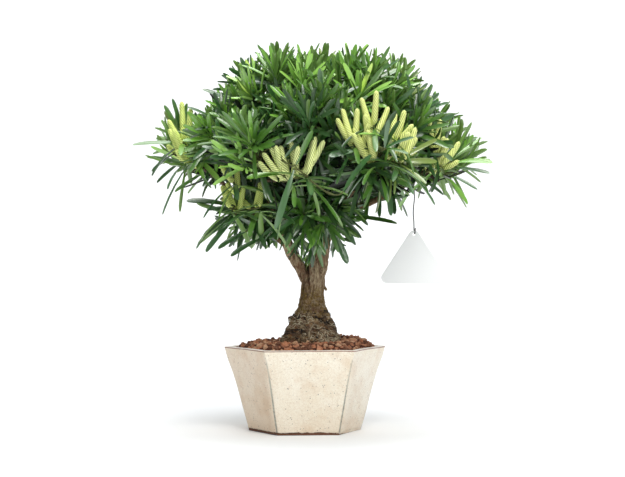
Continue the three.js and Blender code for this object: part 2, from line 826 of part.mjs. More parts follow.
// Masses of foliage, each on a stem that carries on from the tip of its bough.
masses.forEach((mass) => {
  const limb = mass === apex ? trunk : boughOf(mass.name);
  const outward = limb.curve.getTangent(1);
  const start = limb.curve.getPoint(1).addScaledVector(outward, GAP);
  const stem = makeStem(start, outward, SHOOT.stemShare * mass.reach[0]);
  const planes = spaceOf(mass, masses);
  const random = seeded(mass.seed);
  const twigs = makeTwigs(stem, mass, outward, planes, random);
  const organ = { ...LEAF, shape: leafGeometry };
  const grown = growMass({ stem, twigs, planes, lift: mass.lift, organ, random }, obstacles);
  addMesh("foliage_" + mass.name, grown, materials.leaf);
});

export default part;
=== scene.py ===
# The looks of a podocarpus bonsai in a glazed pot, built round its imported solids.
# Sizes are in millimetres, as in the part's source, and become metres where a mesh is made.
# The trunk, limbs and boughs get bark, the pot its glaze and the soil its lava grit. Each mass
# of foliage grows again by the source's rule, with finer twigs and leaves of their real size.

import math
from types import SimpleNamespace as Sizes

import bpy
import numpy as np
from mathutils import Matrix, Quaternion, Vector, noise
from mathutils.bvhtree import BVHTree


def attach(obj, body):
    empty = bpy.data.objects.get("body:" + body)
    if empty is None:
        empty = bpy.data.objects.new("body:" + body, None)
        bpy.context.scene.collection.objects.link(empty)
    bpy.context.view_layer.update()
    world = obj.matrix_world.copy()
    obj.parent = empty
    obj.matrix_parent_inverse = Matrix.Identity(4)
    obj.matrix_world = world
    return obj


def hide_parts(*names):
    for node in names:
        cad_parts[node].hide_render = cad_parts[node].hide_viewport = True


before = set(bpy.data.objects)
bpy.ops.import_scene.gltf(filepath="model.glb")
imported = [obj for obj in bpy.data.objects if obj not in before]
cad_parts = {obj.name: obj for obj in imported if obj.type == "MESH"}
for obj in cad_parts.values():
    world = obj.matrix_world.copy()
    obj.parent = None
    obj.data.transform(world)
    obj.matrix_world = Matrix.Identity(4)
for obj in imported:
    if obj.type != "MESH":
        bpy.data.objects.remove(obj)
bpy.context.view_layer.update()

# ---- Driving dimensions: the first group repeats the source ----

MM = 0.001
GOLDEN_ANGLE = math.pi * (3 - math.sqrt(5))
UP = Vector((0, 0, 1))

POT = Sizes(
    height=106, rim_reach=102, base_reach=72.7, front_share=0.535, depth_share=0.866,
    turn=math.radians(3.9), wall=7, floor=9, foot_height=3, foot_inset=1.6,
    groove_width=3.2, groove_depth=1.6, groove_from=7, groove_to=92, groove_fade=20,
)
SOIL_SEAT = 111
TRUNK = Sizes(
    path=[
        (6, 0, 111.3), (8.5, 0, 140), (9, 0, 170), (11, 0, 190), (17, 2, 215),
        (24, 4, 255), (34, 5, 295), (27, 2, 340), (18, 0, 385),
    ],
    taper=[
        (111.3, 36), (118, 33), (131, 28), (144, 22), (156, 16.5), (170, 14), (188, 13.2),
        (204, 13), (216, 11.5), (255, 9.5), (300, 8), (345, 6), (385, 3.2),
    ],
    lobes=5, lobe_depth=0.13, flare_top=160, stub=((2, 0, 140), (-22, -5, 141)), stub_radius=3,
)
LEFT_LIMB = Sizes(
    path=[
        (7, 0, 184), (-10, -1, 212), (-20, -3, 230), (-28, -6, 262), (-25, -8, 300),
        (-18, -4, 336),
    ],
    taper=[(184, 8.5), (212, 7.2), (230, 6), (300, 4.6), (336, 3.4)],
)
BOUGH = Sizes(
    root_share=0.62, root_most=5.2, tip=2.3, spread=12, leave=(0.32, 0.16), arrive=(0.3, 0.04),
    sway=0.07, seed=7000, stem_share=0.6,
)
LEFT_OF = -25  # masses further left than this grow from the left limb
CROWN_MIDDLE = (13, 0)
CROWN_DEPTH = 0.86  # its depth beside its width
TIERS = [
    Sizes(name="apex", count=1, start=-90, ring=0, height=420, shift=8, slope=0,
          reach=(40, 40, 30), under=0.8, attach=385, lift=0.5),
    Sizes(name="top", count=5, start=-126, ring=84, height=410, shift=10, slope=0,
          reach=(42, 42, 38), under=0.8, attach=346, lift=0.5),
    Sizes(name="shoulder", count=6, start=-90, ring=132, height=370, shift=0, slope=0,
          reach=(42, 42, 36), under=0.8, attach=308, lift=0.3),
    Sizes(name="skirt", count=7, start=-450 / 7, ring=160, height=337, shift=0, slope=-0.03,
          reach=(42, 42, 34), under=0.6, attach=262, lift=0.16),
    Sizes(name="low", count=4, start=200, ring=66, height=280, shift=-24, slope=0.15,
          reach=(46, 44, 34), under=0.8, attach=226, lift=-0.3),
]
COMPASS = ["right", "back_right", "back", "back_left", "left", "front_left", "front", "front_right"]

CONE = Sizes(
    length=43, radius=3.45, bearing=26, leaves_bough_at=0.8, stem_share=0.75, lift=0.1,
    splay_first=math.radians(58), splay_last=math.radians(10), upturn=0.75, roots=(0.5, 0.95),
    seed=900,
)
# Each spray has a bough and whorls of (place, number of cones, lean to the right).
CONE_SPRAYS = [
    ("front_left", "skirt_front_left", [((-16, -150, 309), 6, -0.7), ((4, -150, 316), 4, 0.4)]),
    ("front_right", "skirt_front_right", [
        ((57, -150, 354), 4, -0.3), ((83, -158, 332), 4, -0.4), ((82, -140, 376), 3, 0),
        ((108, -140, 358), 3, 0.5), ((114, -145, 330), 4, 0.9)]),
    ("far_left", "skirt_left", [((-147, -62, 337), 4, -0.9), ((-150, -50, 362), 3, -0.1)]),
    ("far_right", "skirt_right", [((167, -60, 331), 5, 1), ((160, -50, 350), 3, 0.1)]),
    ("low_left", "low_left", [
        ((-86, -96, 310), 3, -0.8), ((-91, -90, 279), 4, -0.4), ((-54, -96, 279), 3, 0)]),
    ("back_left", "skirt_back", [((-84, 140, 330), 4, -0.6), ((-56, 152, 344), 3, 0.1)]),
    ("back_right", "skirt_back_right", [((76, 138, 352), 4, -0.1), ((106, 140, 332), 4, 0.7)]),
]
TAG = Sizes(
    bough="skirt_right", hangs_at=134, top=252, width=82, height=66, corner=7, thickness=0.9,
    hole=1.8, hole_below_top=5, wire=0.45, eye=3.4,
)

# ---- Driving dimensions: the finer growth ----

SHOOT = Sizes(
    inward=-0.3, least_reach=14, roots=(0.15, 0.95), least_share=0.72, room=10,
    radius=1.3, leave=0.4, arrive=0.4, onward=0.45, outward=0.15, stray=0.4,
    side_share=0.3, side_from=(0.4, 0.7), side_length=(16, 28), side_angle=(0.6, 1.0),
    bearing=25, last=0.98, leaf_ahead=42, dark_within=170, taller=1.2, away_below=25,
    tries=6, shorten=0.8, facing=0.05, first=0.12, side_first=0.2, side_lift=0.3,
    side_middle=0.6, side_sag=1.5,
)
# By tier: the shoots of a mass, how far their tips turn up, how long their leaves are beside
# the longest, and how far the older leaves hang.
GROWTH = {
    "apex": Sizes(shoots=15, rise=0.8, leaf=0.82, hang=0.1),
    "top": Sizes(shoots=15, rise=0.75, leaf=0.82, hang=0.14),
    "shoulder": Sizes(shoots=15, rise=0.75, leaf=0.88, hang=0.24),
    "skirt": Sizes(shoots=15, rise=0.55, leaf=0.96, hang=0.36),
    "low": Sizes(shoots=16, rise=0.2, leaf=1, hang=0.5),
}
LEAF = Sizes(
    length=63, width=5.9, thickness=0.8, per_shoot=22, per_side=10, per_inner=9,
    splay_first=math.radians(78), splay_last=math.radians(14), young=0.62, fold=0.26,
    stations=(0, 0.08, 0.22, 0.44, 0.67, 0.86, 0.96), breadth=(0.2, 0.32, 0.66, 0.9, 1, 0.9, 0.56),
    thinnest=0.6, straight_at=0.35, clear=0.8, whorl=6, young_width=0.8, young_bend=0.35,
    side_length=0.9,
)
# How far leaves differ from one another: from least to most.
VARY = Sizes(
    splay=(0.8, 1.2), turn=(-0.25, 0.25), lift=(0, 0.6), length=(0.75, 1.12), width=(0.78, 1.2),
    bend=(0.0, 0.9), twist=(-0.7, 0.7), droop=(0.1, 1.3),
)
# A leaf's section: (place across it, share of its fold, share of its thickness).
LEAF_SECTION = [(-1, 1, 0), (-0.42, 0.1, 0), (0, 0, 0.25), (0.42, 0.1, 0), (1, 1, 0), (0, 0, -1.5)]
LEAF_SIDES = len(LEAF_SECTION)
# The crown's outline from the front, at the depth of the trunk: places (x, z).
OUTLINE = [
    (4, 491), (-24, 489), (-44, 490), (-60, 486), (-76, 476), (-92, 468), (-102, 450),
    (-108, 436), (-116, 426), (-124, 402), (-146, 396), (-152, 407), (-164, 414), (-177, 408),
    (-184, 384), (-190, 356), (-178, 341), (-160, 331), (-140, 319), (-122, 308), (-100, 314),
    (-83, 309), (-103, 292), (-114, 282), (-108, 262), (-114, 244), (-100, 236), (-70, 230),
    (-22, 226), (-6, 212), (36, 212), (42, 226), (50, 234), (62, 240), (70, 258), (76, 276),
    (84, 286), (100, 292), (120, 290), (130, 300), (150, 306), (186, 314), (202, 328),
    (214, 338), (234, 348), (224, 366), (208, 385), (194, 403), (184, 412), (174, 428),
    (166, 436), (152, 443), (144, 454), (137, 471), (123, 484), (100, 487), (85, 491),
    (62, 492), (38, 491),
]
STRAYS = 0.08  # the share of the leaves that may stand far out of the outline
# Single leaves that stand out in the photo, seen from the front at the depth of the trunk:
# (root x, root z, tip x, tip z, depth y, width, shade by its place in LEAF_COLOURS).
LONG_LEAVES = [
    (-156, 363, -217, 365, -62, 7, 3), (-169, 348, -194, 329, -60, 6, 1),
    (-159, 338, -188, 315, -60, 6, 1), (-133, 322, -165, 304, -66, 6.5, 3),
    (-89, 283, -148, 296, -92, 8, 1), (-93, 273, -129, 247, -90, 7, 1),
    (-93, 263, -127, 228, -84, 7.5, 2), (-76, 250, -110, 232, -70, 7, 2),
    (-55, 242, -95, 224, -60, 7, 2), (-83, 411, -127, 434, -70, 5, 2),
    (-114, 392, -146, 411, -60, 5, 2), (190, 338, 236, 344, -55, 7.5, 4),
    (187, 331, 233, 328, -50, 5, 2), (182, 323, 218, 307, -50, 5, 2),
    (179, 321, 206, 287, -60, 9, 4), (105, 316, 109, 272, -130, 7, 2),
    (60, 270, 116, 264, -60, 8, 3), (33, 255, 55, 212, -70, 9.5, 2),
    (49, 302, 81, 349, -190, 10, 2), (-14, 329, -39, 255, -166, 8.5, 2),
    (-158, 372, -176, 410, -34, 6, 3), (-156, 374, -166, 418, -36, 6, 2),
    (-154, 372, -150, 412, -34, 6, 3), (-32, 323, -73, 323, -160, 8, 4),
    (-11, 336, 8, 378, -166, 7, 3), (64, 353, 31, 348, -165, 8, 2),
    (101, 357, 105, 391, -184, 5.5, 2), (102, 357, 117, 391, -182, 5.5, 1),
    (103, 357, 135, 373, -184, 6, 2), (103, 356, 130, 352, -184, 5.5, 3),
    (68, 300, 58, 262, -42, 6.5, 1), (82, 303, 76, 266, -44, 6, 3),
    (95, 306, 94, 270, -40, 6, 2), (108, 308, 114, 274, -44, 6.5, 1),
]
CAMERA = Sizes(x=9.5, y=-2150, z=242, lens=97.9, sensor=36)
SEEDS = Sizes(grit=41, roots=61, strays=77, whorls=1300, long_leaves=1500, sprout=1700)

# ---- Small helpers ----


def seeded(seed):
    """A seeded row of numbers from 0 to 1, the same as in the part's source."""
    whole = 0xFFFFFFFF
    state = seed & whole

    def draw(low=0.0, high=1.0):
        nonlocal state
        state = (state + 0x6D2B79F5) & whole
        t = ((state ^ (state >> 15)) * (state | 1)) & whole
        t ^= (t + (((t ^ (t >> 7)) * (t | 61)) & whole)) & whole
        return low + (high - low) * ((t ^ (t >> 14)) & whole) / 4294967296

    return draw


def lerp(a, b, share):
    return a + (b - a) * share


def held(value):
    """The value, held between 0 and 1."""
    return max(0, min(1, value))


def bell(x, middle, width):
    """1 in the middle, falling to nothing beyond the width."""
    return math.exp(-(((x - middle) / width) ** 2))


def drawn(draw, low, high):
    """A vector of three drawn numbers."""
    return Vector((draw(low, high), draw(low, high), draw(low, high)))


def along(table, x):
    """The value at x on the line through a table of (x, value) rows."""
    return float(np.interp(x, [row[0] for row in table], [row[1] for row in table]))


def smooth_curve(points):
    """The even Catmull-Rom curve through points, as a function of 0 to 1."""
    given = [Vector(p) for p in points]
    ends = [given[0] * 2 - given[1], *given, given[-1] * 2 - given[-2]]
    last = len(given) - 1

    def at(share):
        i = min(int(share * last), last - 1)
        t = share * last - i
        before, start, end, after = ends[i:i + 4]
        leave, arrive = (end - before) * 0.5, (after - start) * 0.5
        square, cube = t * t, t ** 3
        return (start * (2 * cube - 3 * square + 1) + leave * (cube - 2 * square + t)
                + end * (3 * square - 2 * cube) + arrive * (cube - square))

    return at


def bezier(points):
    """The Bezier curve of three or four points, as a function of 0 to 1."""
    given = [Vector(p) for p in points]

    def at(share):
        level = given
        while len(level) > 1:
            level = [a.lerp(b, share) for a, b in zip(level, level[1:])]
        return level[0]

    return at


def tangent_of(curve, share, step=0.01):
    return (curve(min(1, share + step)) - curve(max(0, share - step))).normalized()


def turned(v, axis, angle):
    return Quaternion(axis, angle) @ v


def across_from(axis):
    side = UP.cross(axis)
    return side.normalized() if side.length > 1e-4 else Vector((1, 0, 0))


def leaning(axis, angle, turn):
    """The direction that leans from an axis by an angle, turned round the axis."""
    out = turned(across_from(axis), axis, turn)
    return axis * math.cos(angle) + out * math.sin(angle)


# ---- Meshes ----

# How many rows each kind of tube has along it, and how many sides round it.
TUBES = Sizes(
    trunk=(150, 72), limb=(90, 36), flake=(30, 8), stub=(12, 16), root=(16, 5), arch=(30, 10),
    bough=(34, 12), wire=(220, 8), twig=(9, 6),
)


def placed(name, data):
    """A new object in the scene."""
    made = bpy.data.objects.new(name, data)
    bpy.context.scene.collection.objects.link(made)
    return made


def settled(piece):
    """The piece's mesh as its modifiers leave it. The piece itself is taken away."""
    graph = bpy.context.evaluated_depsgraph_get()
    mesh = bpy.data.meshes.new_from_object(piece.evaluated_get(graph))
    bpy.data.objects.remove(piece)
    return mesh


def surface_of(piece):
    """The piece's faces, to cast rays at and to find the nearest place on."""
    mesh = piece.data
    return BVHTree.FromPolygons([v.co for v in mesh.vertices], [p.vertices for p in mesh.polygons])


def piece_of(name, points, faces, materials, slots=None, sharp=None):
    """A piece from points in millimetres and arrays of faces with 3 or 4 corners each."""
    mesh = bpy.data.meshes.new(name)
    points = np.asarray(points, float)
    mesh.vertices.add(len(points))
    mesh.vertices.foreach_set("co", (points * MM).astype(np.float32).ravel())
    faces = [np.asarray(f, np.int32) for f in faces if len(f)]
    corners = np.concatenate([f.ravel() for f in faces])
    sizes = np.concatenate([np.full(len(f), f.shape[1]) for f in faces])
    mesh.loops.add(len(corners))
    mesh.loops.foreach_set("vertex_index", corners)
    mesh.polygons.add(len(sizes))
    mesh.polygons.foreach_set("loop_start", (np.cumsum(sizes) - sizes).astype(np.int32))
    for material in materials:
        mesh.materials.append(material)
    if slots is not None:
        mesh.polygons.foreach_set("material_index", np.asarray(slots, np.int32))
    mesh.update(calc_edges=True)
    mesh.validate()
    mesh.shade_smooth()
    if sharp is not None:
        mesh.set_sharp_from_angle(angle=math.radians(sharp))
    return placed(name, mesh)


def grid_faces(rows, sides, first=0):
    """Quads of a tube with rows rings of sides points, which close on themselves."""
    row, side = np.meshgrid(np.arange(rows - 1), np.arange(sides), indexing="ij")
    a = first + row * sides + side
    b = first + row * sides + (side + 1) % sides
    return np.stack([a, b, b + sides, a + sides], -1).reshape(-1, 4)


def cap_faces(ring, middle, up):
    """A fan from a ring of point numbers to a middle point."""
    after = np.roll(ring, -1)
    pairs = (ring, after) if up else (after, ring)
    return np.stack([*pairs, np.full(len(ring), middle)], -1)


def rings_along(curve, shares, sides, radius_at):
    """Rings square to a curve, turned as little as possible from one to the next."""
    rings = []
    side = None
    for share in shares:
        tangent = tangent_of(curve, share)
        if side is None:
            side = across_from(tangent)
        side = (side - tangent * side.dot(tangent)).normalized()
        other = tangent.cross(side)
        middle = curve(share)
        for k in range(sides):
            angle = 2 * math.pi * k / sides
            radius = radius_at(share, angle)
            rings.append(middle + (side * math.cos(angle) + other * math.sin(angle)) * radius)
    return rings


def tube_faces(rows, sides):
    """Quads and triangles of a closed tube, whose last two points are its ends' middles."""
    ring = np.arange(sides)
    count = rows * sides
    ends = [cap_faces(ring, count, False), cap_faces(ring + count - sides, count + 1, True)]
    return grid_faces(rows, sides), np.concatenate(ends)


def tube(curve, rows, sides, radius_at):
    """A closed tube along a curve: its points, quads and triangles."""
    shares = [i / (rows - 1) for i in range(rows)]
    points = rings_along(curve, shares, sides, radius_at)
    points += [curve(0), curve(1)]
    return [tuple(p) for p in points], *tube_faces(rows, sides)


class Heap:
    """Parts gathered into one piece, with a material slot for each part."""

    def __init__(self):
        self.points, self.quads, self.fans, self.quad_slots, self.fan_slots = [], [], [], [], []
        self.count = 0

    def add(self, points, quads, fans, slot=0):
        points = np.asarray(points, float).reshape(-1, 3)
        self.points.append(points)
        self.quads.append(np.asarray(quads, int).reshape(-1, 4) + self.count)
        self.fans.append(np.asarray(fans, int).reshape(-1, 3) + self.count)
        self.quad_slots.append(np.full(len(self.quads[-1]), slot))
        self.fan_slots.append(np.full(len(self.fans[-1]), slot))
        self.count += len(points)

    def piece(self, name, materials, sharp=None):
        slots = np.concatenate(self.quad_slots + self.fan_slots)
        faces = [np.concatenate(self.quads), np.concatenate(self.fans)]
        return piece_of(name, np.concatenate(self.points), faces, materials, slots, sharp)


def set_measure(piece, name, values):
    """A number for each point of a piece, which its material reads."""
    attribute = piece.data.attributes.new(name, "FLOAT", "POINT")
    attribute.data.foreach_set("value", np.asarray(values, np.float32))


def show(piece, slot, *nodes):
    """Puts a piece on the plant's one body and in the place of nodes. Its slot is not used."""
    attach(piece, "root")
    if nodes:
        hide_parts(*nodes)
    return piece


# ---- Materials ----


def linear(code):
    """A colour such as d9c7a4 as the linear values that a shader takes."""
    parts = [int(code[i:i + 2], 16) / 255 for i in (0, 2, 4)]
    return [c / 12.92 if c <= 0.04045 else ((c + 0.055) / 1.055) ** 2.4 for c in parts] + [1]


class Finish:
    """A material of shader nodes round one Principled shader. Patterns are in millimetres."""

    def __init__(self, name, colour, roughness, **sockets):
        self.material = bpy.data.materials.new(name)
        self.material.use_nodes = True
        self.tree = self.material.node_tree
        self.shader = next(n for n in self.tree.nodes if n.type == "BSDF_PRINCIPLED")
        self.shader.inputs["Base Color"].default_value = linear(colour)
        self.shader.inputs["Roughness"].default_value = roughness
        for socket, value in sockets.items():
            self.shader.inputs[socket.replace("_", " ")].default_value = value
        self.material.diffuse_color = linear(colour)

    def node(self, kind, inputs=(), **settings):
        made = self.tree.nodes.new("ShaderNode" + kind)
        for name, value in settings.items():
            setattr(made, name, value)
        for key, value in dict(inputs).items():
            if isinstance(value, bpy.types.NodeSocket):
                self.tree.links.new(value, made.inputs[key])
            else:
                made.inputs[key].default_value = value
        return made

    def place(self, stretch=(1, 1, 1)):
        """The place on the piece in millimetres, or in longer or shorter steps by stretch."""
        coords = self.node("TexCoord").outputs["Object"]
        scale = [s / MM for s in stretch]
        return self.node("VectorMath", {0: coords, 1: scale}, operation="MULTIPLY").outputs[0]

    def noise(self, size, detail=3, roughness=0.6, stretch=(1, 1, 1), distortion=0.0):
        inputs = {"Vector": self.place(stretch), "Scale": 1 / size, "Detail": detail,
                  "Roughness": roughness, "Distortion": distortion}
        return self.node("TexNoise", inputs).outputs["Fac"]

    def cells(self, size, feature="F1"):
        inputs = {"Vector": self.place(), "Scale": 1 / size}
        return self.node("TexVoronoi", inputs, feature=feature).outputs["Distance"]

    def band(self, value, low, high, out_low=0.0, out_high=1.0):
        """Value moved from low..high to out_low..out_high, and held there beyond."""
        inputs = {"Value": value, "From Min": low, "From Max": high,
                  "To Min": out_low, "To Max": out_high}
        return self.node("MapRange", inputs, clamp=True).outputs["Result"]

    def math(self, operation, a, b):
        return self.node("Math", {0: a, 1: b}, operation=operation).outputs[0]

    def mix(self, share, a, b):
        """Colour a, and b over it by share. A colour is a socket or a code."""
        made = self.node("Mix", {"Factor": share}, data_type="RGBA")
        for key, value in ((6, a), (7, b)):
            if isinstance(value, str):
                made.inputs[key].default_value = linear(value)
            else:
                self.tree.links.new(value, made.inputs[key])
        return made.outputs[2]

    def measure(self, name):
        return self.node("Attribute", attribute_name=name).outputs["Fac"]

    def colour_from(self, socket):
        self.tree.links.new(socket, self.shader.inputs["Base Color"])

    def roughness_from(self, socket):
        self.tree.links.new(socket, self.shader.inputs["Roughness"])

    def bump_from(self, height, distance, strength):
        """Makes the shader's normal follow a height, whose full range is the distance."""
        inputs = {"Height": height, "Distance": distance * MM, "Strength": strength}
        made = self.node("Bump", inputs)
        self.tree.links.new(made.outputs["Normal"], self.shader.inputs["Normal"])


# Left of a line up the pot's front left corner the glaze is tan and darker, partly its own tone and
# partly painted shade on the face turned from the light; it is also tan and darker low on the pot.
TAN_AND_SHADE_EDGE = Sizes(lean=0.135, starts=-33.5, full=-36.5, low=34)
# The bare clay at the foot ends at a ragged line, which drops from left to right.
BARE_EDGE = Sizes(ragged=6.0, left=25, right=62, high=6.6, low=2.6)


def glaze_finish():
    """Cream glaze: faint clouds, tan and painted shade on the left and tan low down, faint crackle,
    fine brown specks, dark where it pools in the grooves, thin and reddish along the rim's edge,
    and bare clay at the foot."""
    f = Finish("cream_glaze", "e6d8bb", 0.34, Coat_Weight=0.25, Coat_Roughness=0.12)
    clouds = f.band(f.noise(30, detail=6, roughness=0.65), 0.38, 0.7, 0, 0.55)
    colour = f.mix(clouds, "f7f0e0", "e9dac0")
    axes = f.node("SeparateXYZ", {0: f.place()}).outputs
    x, z = axes["X"], axes["Z"]
    # Painted shade: the left face, turned from the light, is made darker and tan, partly by the
    # glaze's own tone.
    beyond_edge = f.math("ADD", x, f.math("MULTIPLY", z, TAN_AND_SHADE_EDGE.lean))
    tan_and_shade = f.math("ADD", f.band(beyond_edge, TAN_AND_SHADE_EDGE.starts, TAN_AND_SHADE_EDGE.full, 0, 0.4),
                    f.band(z, TAN_AND_SHADE_EDGE.low, 0, 0, 0.2))
    patches = f.band(f.noise(38, detail=5, roughness=0.6), 0.52, 0.7, 0, 0.4)
    colour = f.mix(f.math("ADD", tan_and_shade, patches), colour, "d2b08a")
    mottle = f.band(f.noise(2.2, detail=7, roughness=0.85), 0.48, 0.7, 0, 0.6)
    colour = f.mix(mottle, colour, "cfb390")
    crackle = f.band(f.cells(4.2, "DISTANCE_TO_EDGE"), 0.0, 0.05, 0.26, 0)
    colour = f.mix(crackle, colour, "b09a78")
    for size, share, code in ((3.4, 0.52, "5d4330"), (1.9, 0.56, "8d6c4c")):
        specks = f.band(f.cells(size), 0.12, 0.22, 0.9, 0)
        chosen = f.band(f.noise(1.6 * size, detail=2), share, share + 0.05)
        colour = f.mix(f.math("MULTIPLY", specks, chosen), colour, code)
    pooled = f.band(f.measure("groove"), 0.35, 0.9, 0, 0.95)
    uneven = f.band(f.noise(5, detail=4), 0.3, 0.7, 0.55, 1)
    faded = f.band(z, POT.groove_to, 40, 0.35, 1)
    pooled = f.math("MULTIPLY", pooled, f.math("MULTIPLY", uneven, faded))
    colour = f.mix(pooled, colour, "4a534d")
    colour = f.mix(f.band(f.measure("edge"), 0.2, 0.8), colour, "84503e")
    colour = f.mix(f.band(f.measure("rim"), 0.4, 0.7, 0, 0.75), colour, "f3ece0")
    rough = f.math("MULTIPLY", f.noise(9, detail=6, roughness=0.75), BARE_EDGE.ragged)
    ragged = f.math("ADD", z, rough)
    overrun = f.band(x, BARE_EDGE.left, BARE_EDGE.right, BARE_EDGE.high, BARE_EDGE.low)
    bare = f.band(f.math("SUBTRACT", ragged, overrun), -0.3, 0.3, 1, 0)
    colour = f.mix(bare, colour, "6b4632")
    f.colour_from(colour)
    f.roughness_from(f.band(bare, 0, 1, 0.34, 0.9))
    relief = f.math("ADD", f.noise(14, detail=3), f.math("MULTIPLY", f.noise(1.6, detail=2), 0.2))
    f.bump_from(relief, 0.5, 0.5)
    return f.material


def bark_finish(name, dark, middle, light, moss_share):
    """Fibrous bark: dark in its cracks, partly its own tone and partly painted shade, pale on its
    ridges, with moss by a measure.
    """
    f = Finish(name, middle, 0.92, Specular_IOR_Level=0.2)
    fibre = f.noise(2.4, detail=8, roughness=0.75, stretch=(1, 1, 0.2), distortion=0.8)
    speck = f.noise(2.8, detail=7, roughness=0.8, distortion=0.5)
    moss = f.measure("moss")
    grain = f.math("ADD", f.math("MULTIPLY", fibre, f.math("SUBTRACT", 1.0, moss)),
                   f.math("MULTIPLY", speck, moss))
    # The relief darkens the cracks and lightens the ridges: partly the bark's own tone, and in the
    # cracks partly painted shade.
    shade = f.math("ADD", f.math("MULTIPLY", f.measure("relief"), 0.55), grain)
    colour = f.mix(f.band(shade, 0.62, 0.8), dark, middle)
    colour = f.mix(f.band(shade, 0.8, 1.02), colour, light)
    patches = f.band(f.noise(13, detail=4), 0.5, 0.66, 0, 0.5)
    colour = f.mix(patches, colour, "764a36")
    tufts = f.band(f.noise(5, detail=6, roughness=0.75), 0.44, 0.58)
    neck = f.math("MULTIPLY", f.band(moss, 0, 0.25), f.band(moss, 0.85, 0.55, 0.35, 1))
    mossy = f.math("MULTIPLY", tufts, f.math("MULTIPLY", neck, moss_share))
    colour = f.mix(mossy, colour, "83692f")
    # Darker patches low on the trunk.
    darker_low = f.math("MULTIPLY", moss, f.band(f.noise(6, detail=5), 0.35, 0.65, 0.25, 0.8))
    colour = f.mix(darker_low, colour, "33281f")
    # Painted shade: near-black specks for the shade in tiny pits, more of them low on the trunk.
    pit_shade = f.band(f.noise(2.1, detail=6, roughness=0.8), 0.47, 0.4, 0, 0.85)
    colour = f.mix(f.math("MULTIPLY", pit_shade, f.band(moss, 0, 0.3, 0.3, 1)), colour, "17110c")
    rust = f.band(f.noise(8, detail=5), 0.5, 0.6, 0, 0.6)
    colour = f.mix(f.math("MULTIPLY", rust, f.band(moss, 0.6, 0.9)), colour, "80552f")
    flecks = f.band(f.noise(1.7, detail=5, roughness=0.8, distortion=1.0), 0.56, 0.64, 0, 0.6)
    colour = f.mix(f.math("MULTIPLY", flecks, f.band(moss, 0, 0.3, 0.2, 1)), colour, "b9a27c")
    # Painted shade: the deepest cracks and hollows turn nearly black.
    colour = f.mix(f.band(f.measure("relief"), 0.3, 0.06), colour, "140e0a")
    f.colour_from(colour)
    fine = f.noise(0.9, detail=4, roughness=0.7, stretch=(1, 1, 0.3))
    f.bump_from(f.math("ADD", grain, f.math("MULTIPLY", fine, 0.4)), 1.6, 1.0)
    return f.material


def lava_finish(name, colour, pale):
    """A grain of lava, with pores and dust."""
    f = Finish(name, colour, 0.95, Specular_IOR_Level=0.2)
    f.colour_from(f.mix(f.band(f.noise(2.2, detail=5, roughness=0.75), 0.42, 0.68), colour, pale))
    pores = f.band(f.cells(1.5), 0.1, 0.5)
    f.bump_from(f.math("ADD", pores, f.noise(1.1, detail=4)), 0.6, 0.9)
    return f.material


def leaf_finish(name, colour, gloss):
    """A leathery leaf: one colour, with faint ripples along it."""
    f = Finish(name, colour, 0.3, IOR=1.6, Specular_IOR_Level=gloss)
    f.bump_from(f.noise(5, detail=2), 0.5, 0.5)
    return f.material


def cone_finish(name, colour, shade):
    """A pollen cone: pale scales, darker in the joints between them."""
    f = Finish(name, colour, 0.62)
    f.colour_from(f.mix(f.band(f.measure("scale"), 0.05, 0.5), shade, colour))
    f.bump_from(f.noise(0.8, detail=3), 0.2, 0.6)
    return f.material


def twig_finish(name, colour, shade):
    """A twig or a root: streaks of two colours along it."""
    f = Finish(name, colour, 0.8)
    streaks = f.band(f.noise(2.5, detail=4, stretch=(1, 1, 0.4)), 0.35, 0.65)
    f.colour_from(f.mix(streaks, shade, colour))
    f.bump_from(f.noise(1.2, detail=4), 0.4, 0.8)
    return f.material


def plastic_finish(name, colour, roughness):
    """Plain plastic with the faint grain of a moulded or printed sheet."""
    f = Finish(name, colour, roughness)
    f.bump_from(f.noise(0.6, detail=2), 0.02, 0.5)
    return f.material


def soil_finish():
    """Dark grit between the grains of lava."""
    f = Finish("soil_bed", "5a3528", 0.96, Specular_IOR_Level=0.2)
    f.colour_from(f.mix(f.band(f.noise(3, detail=6), 0.4, 0.6), "3d261e", "6e4230"))
    f.bump_from(f.noise(2.5, detail=6, roughness=0.7), 1.2, 1.0)
    return f.material


# ---- Pot and soil ----

# The pot's steps across a face and up its grooves, its worn edge and pale lip, and the slight
# waves of its walls and rim.
GLAZED = Sizes(
    face_steps=14, groove_between=0.45, climb=6.5, climbs=14, skin=3, worn=1, lip=8,
    wave=0.028, wave_outside=0.7, wave_inside=0.3, rim_wave=0.03, rim_lift=0.5, rim_from=100,
    top=0.4, level=0.1,
)
CORNERS = 6


def pot_corner(i, reach):
    """Corner number i of the pot's outline, whose corners are at a reach from its middle."""
    wide, deep = POT.front_share, POT.depth_share
    corners = [(1, 0), (wide, deep), (-wide, deep), (-1, 0), (-wide, -deep), (wide, -deep)]
    x, y = [share * reach for share in corners[i % CORNERS]]
    c, s = math.cos(POT.turn), math.sin(POT.turn)
    return Vector((x * c - y * s, x * s + y * c))


def pot_reach(z):
    """How far the pot's corners are from its middle at a height."""
    climbed = (z - POT.foot_height) / (POT.height - POT.foot_height)
    return lerp(POT.base_reach, POT.rim_reach, climbed)


def pot_inside(x, y, clear):
    """Whether a point is inside the pot's rim by at least clear."""
    for i in range(CORNERS):
        a, b = pot_corner(i, POT.rim_reach), pot_corner(i + 1, POT.rim_reach)
        edge = (b - a).normalized()
        if edge.x * (y - a.y) - edge.y * (x - a.x) < clear:
            return False
    return True


